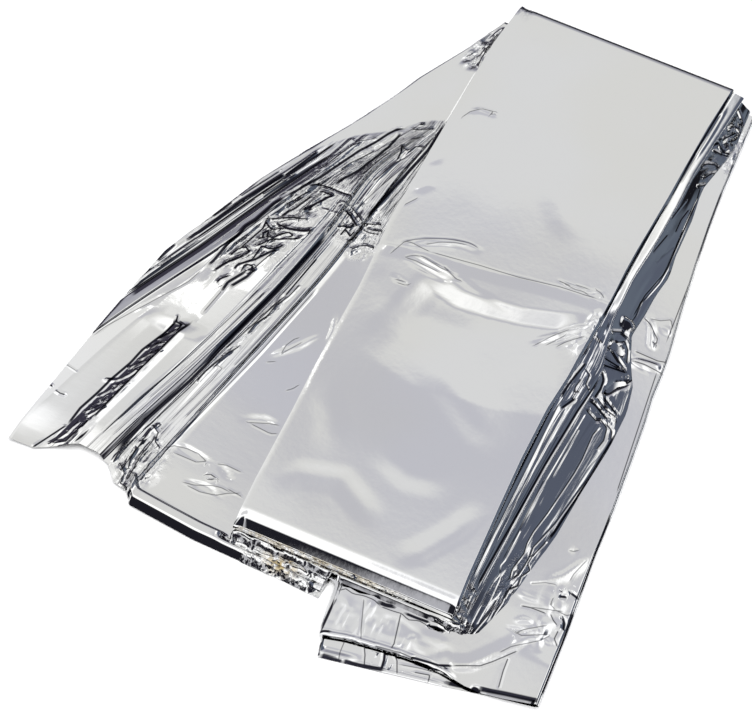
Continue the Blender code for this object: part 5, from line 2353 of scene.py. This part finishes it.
    def small_facets(self, nodes: Nodes, flat: Signal) -> Signal:
        """Small flat facets, each tilted its own way.

        Args:
            nodes: the material's nodes.
            flat: place on the flat film.

        Returns:
            Their height.
        """
        total = None
        for scale, slope in self.facets:
            scaled = nodes.scaled(flat, scale)
            cells = nodes.add("ShaderNodeTexVoronoi", {"voronoi_dimensions": "2D"}, Vector=scaled, Scale=1.0)
            tilt = nodes.difference(nodes.signal(cells, "Color"), (0.5, 0.5, 0.5))
            away = nodes.difference(scaled, nodes.signal(cells, "Position"))
            part = nodes.dot(tilt, away) * (slope / (scale * MM))
            total = part if total is None else total + part
        return total


# -------------------- the studio


@dataclass(frozen=True)
class Wall:
    """Part of the studio's light: its colour, and where it starts and where it is full.

    Across and along are a direction's X and Y over its Z, so that they are places on a ceiling.
    """

    colour: tuple
    across: tuple = None
    along: tuple = None
    rise: tuple = None  # as the direction's Z

    def share(self, place: tuple) -> Signal:
        """How much of the light this part gives.

        Args:
            place: across, along and rise.

        Returns:
            A share from 0 to 1.
        """
        fades = (self.across, self.along, self.rise)
        parts = [signal.step(*fade) for signal, fade in zip(place, fades) if fade]
        total = parts[0]
        for part in parts[1:]:
            total = total * part
        return total


@dataclass(frozen=True)
class Spot:
    """An oval place in the studio's light; it fades between two squares of its half sizes."""

    colour: tuple
    middle: tuple
    half: tuple
    fade: tuple

    def share(self, place: tuple) -> Signal:
        """How much of the light this spot gives at a place."""
        across, along = ((place[axis] - self.middle[axis]) / self.half[axis] for axis in (0, 1))
        return (across ** 2 + along ** 2).step(*self.fade)


@dataclass(frozen=True)
class Studio:
    """A pale floor, a soft light overhead with darker walls around it, and the camera."""

    sight: Sight = SIGHT
    floor_radius: float = 6.0
    floor_colour: tuple = (0.92, 0.92, 0.92, 1.0)
    floor_rough: float = 0.9
    lamp_size: float = 3.0
    lamp_energy: float = 60.0
    lamp_height: float = 2.2
    horizon: float = 0.04  # the least Z that a place on the ceiling is worked out with
    horizon_soft: tuple = (-0.03, 0.0)
    below: tuple = (0.85, 0.85, 0.86, 1)  # the light from under the horizon
    backdrop: tuple = (1.0, 1.0, 1.0, 1)  # what the camera sees past the floor
    ceiling: tuple = (0.765, 0.765, 0.76, 1)
    ceiling_middle: tuple = (-0.24, 0.49)
    ceiling_rings: tuple = (  # colour, where it starts and where it is full
        ((0.42, 0.42, 0.48, 1), 0.30, 0.75),
        ((0.022, 0.022, 0.03, 1), 0.70, 1.5),
    )
    overhead: tuple = (
        # the brighter left end, a greyer place above the strip and a small lamp
        Wall((0.90, 0.90, 0.90, 1), across=(-0.315, -0.365), along=(0.62, 0.5)),
        Spot((0.585, 0.585, 0.63, 1), (-0.19, 0.47), (0.13, 0.11), (1.9, 0.0)),
        Spot((1.4, 1.4, 1.4, 1), (-0.343, 0.482), (0.017, 0.036), (1.8, 0.6)),
        # the left wall and the near one
        Wall((0.045, 0.042, 0.062, 1), across=(-0.9, -1.3)),
        Wall((0.014, 0.014, 0.02, 1), along=(-0.5, -0.8)),
    )
    panel: Wall = Wall((1.3, 1.3, 1.3, 1), across=(-0.07, 0.08), along=(0.95, 0.55))
    panel_far: tuple = (0.33, 0.06)  # where the panel's near part starts along
    panel_near: tuple = (-0.78, -0.45)
    panel_left: tuple = (-1.0, -0.45)
    slate: tuple = (0.014, 0.014, 0.022, 1)
    slate_across: tuple = (0.13, 0.30)
    slate_parts: tuple = (
        Wall((0.10, 0.115, 0.16, 1), along=(0.0, 0.45)),
        Wall((0.13, 0.155, 0.20, 1), across=(0.5, 1.5), along=(0.2, 0.6)),
        Wall((0.010, 0.010, 0.014, 1), rise=(0.42, 0.22)),
    )
    calm: tuple = (0.50, 0.50, 0.53, 1)  # the grey of the side and front walls
    side_spread: tuple = (0.34, 0.16)  # along over across
    side_rise: tuple = (0.62, 0.42)
    front_spread: tuple = (0.18, 0.08)  # across over along
    front_along: tuple = (-0.55, -0.75)
    zenith: Spot = Spot((0.76, 0.76, 0.775, 1), (0.0, 0.0), (0.15, 0.2), (1.7, 0.5))

    def build(self) -> None:
        """Make the floor, the light and the camera."""
        self.world()
        self.floor()
        self.camera()
        bpy.context.scene.view_settings.view_transform = "Standard"

    def world(self) -> None:
        """Light from a wide soft ceiling that falls off to dark walls, with a white panel in it."""
        world = bpy.data.worlds.new("studio")
        bpy.context.scene.world = world
        world.use_nodes = True
        nodes = Nodes(world.node_tree)
        where = nodes.signal(nodes.add("ShaderNodeTexCoord"), "Generated")
        x, y, z = nodes.split(where)
        rise = z.most(self.horizon)
        sky = self.walls(nodes, (x / rise, y / rise, z))
        sky = nodes.blend(z.step(*self.horizon_soft), self.below, sky)
        directly = nodes.signal(nodes.add("ShaderNodeLightPath"), "Is Camera Ray")
        colour = nodes.blend(directly, sky, self.backdrop)
        back = nodes.add("ShaderNodeBackground", Color=colour, Strength=1.0)
        nodes.add("ShaderNodeOutputWorld", Surface=nodes.signal(back))

    def walls(self, nodes: Nodes, place: tuple) -> Signal:
        """The light above the horizon, one part over another.

        Args:
            nodes: the world's nodes.
            place: across, along and rise.

        Returns:
            The light's colour.
        """
        across, along, rise = place
        middle_x, middle_y = self.ceiling_middle
        away = ((across - middle_x) ** 2 + (along - middle_y) ** 2) ** 0.5
        sky = self.ceiling
        for colour, start, end in self.ceiling_rings:
            sky = nodes.blend(away.step(start, end), sky, colour)
        for part in self.overhead:
            sky = nodes.blend(part.share(place), sky, part.colour)
        panel = (along.step(*self.panel_far) * along.step(*self.panel_near)).most(self.panel.share(place))
        sky = nodes.blend(panel * across.step(*self.panel_left), sky, self.panel.colour)
        slate = self.slate
        for part in self.slate_parts:
            slate = nodes.blend(part.share(place), slate, part.colour)
        sky = nodes.blend(across.step(*self.slate_across), sky, slate)
        side = abs(along / across).step(*self.side_spread) * rise.step(*self.side_rise)
        sky = nodes.blend(side, sky, self.calm)
        sky = nodes.blend(self.zenith.share(place), sky, self.zenith.colour)
        front = abs(across / along).step(*self.front_spread) * along.step(*self.front_along)
        return nodes.blend(front, sky, self.calm)

    def floor(self) -> None:
        """A plain pale floor, lit from above by a wide light that the film doesn't mirror."""
        mesh = bmesh.new()
        bmesh.ops.create_circle(mesh, cap_ends=True, segments=96, radius=self.floor_radius)
        data = bpy.data.meshes.new("floor")
        mesh.to_mesh(data)
        mesh.free()
        floor = bpy.data.objects.new("floor", data)
        bpy.context.scene.collection.objects.link(floor)
        material = bpy.data.materials.new("pale floor")
        material.use_nodes = True
        shader = material.node_tree.nodes["Principled BSDF"]
        shader.inputs["Base Color"].default_value = self.floor_colour
        shader.inputs["Roughness"].default_value = self.floor_rough
        shader.inputs["Specular IOR Level"].default_value = 0.0
        data.materials.append(material)
        light = bpy.data.lights.new("floor light", "AREA")
        light.shape = "DISK"
        light.size = self.lamp_size
        light.energy = self.lamp_energy
        lamp = bpy.data.objects.new("floor light", light)
        lamp.location = (0.0, 0.0, self.lamp_height)
        lamp.visible_glossy = False
        bpy.context.scene.collection.objects.link(lamp)

    def camera(self) -> None:
        """The camera, above and to the near right of the blanket."""
        right, up, back = self.sight.axes()
        aim = Vector(self.sight.aim) + Vector(SHIFT)
        place = Matrix((right, up, back)).transposed().to_4x4()
        place.translation = (aim + back * self.sight.distance) * MM
        data = bpy.data.cameras.new("camera")
        data.sensor_width = self.sight.sensor
        data.lens = self.sight.focal * self.sight.sensor / self.sight.picture[0]
        camera = bpy.data.objects.new("camera", data)
        camera.matrix_world = place
        bpy.context.scene.collection.objects.link(camera)
        bpy.context.scene.camera = camera


# -------------------- putting it together


def main() -> None:
    """Build the blanket and its studio."""
    logging.basicConfig(level=logging.INFO, format="%(message)s")
    Studio().build()
    film = FilmMesh(FoldedFilm())
    piece = film.build()
    triangles = sum(len(polygon.vertices) - 2 for polygon in piece.data.polygons)
    LOG.info("%s: %d triangles, flat %.0f x %.0f mm", piece.name, triangles, *film.flat)
    piece.data.materials.append(FilmFinish().make())
    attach(piece, "root")
    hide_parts(NODE)


if __name__ == "__main__":
    main()
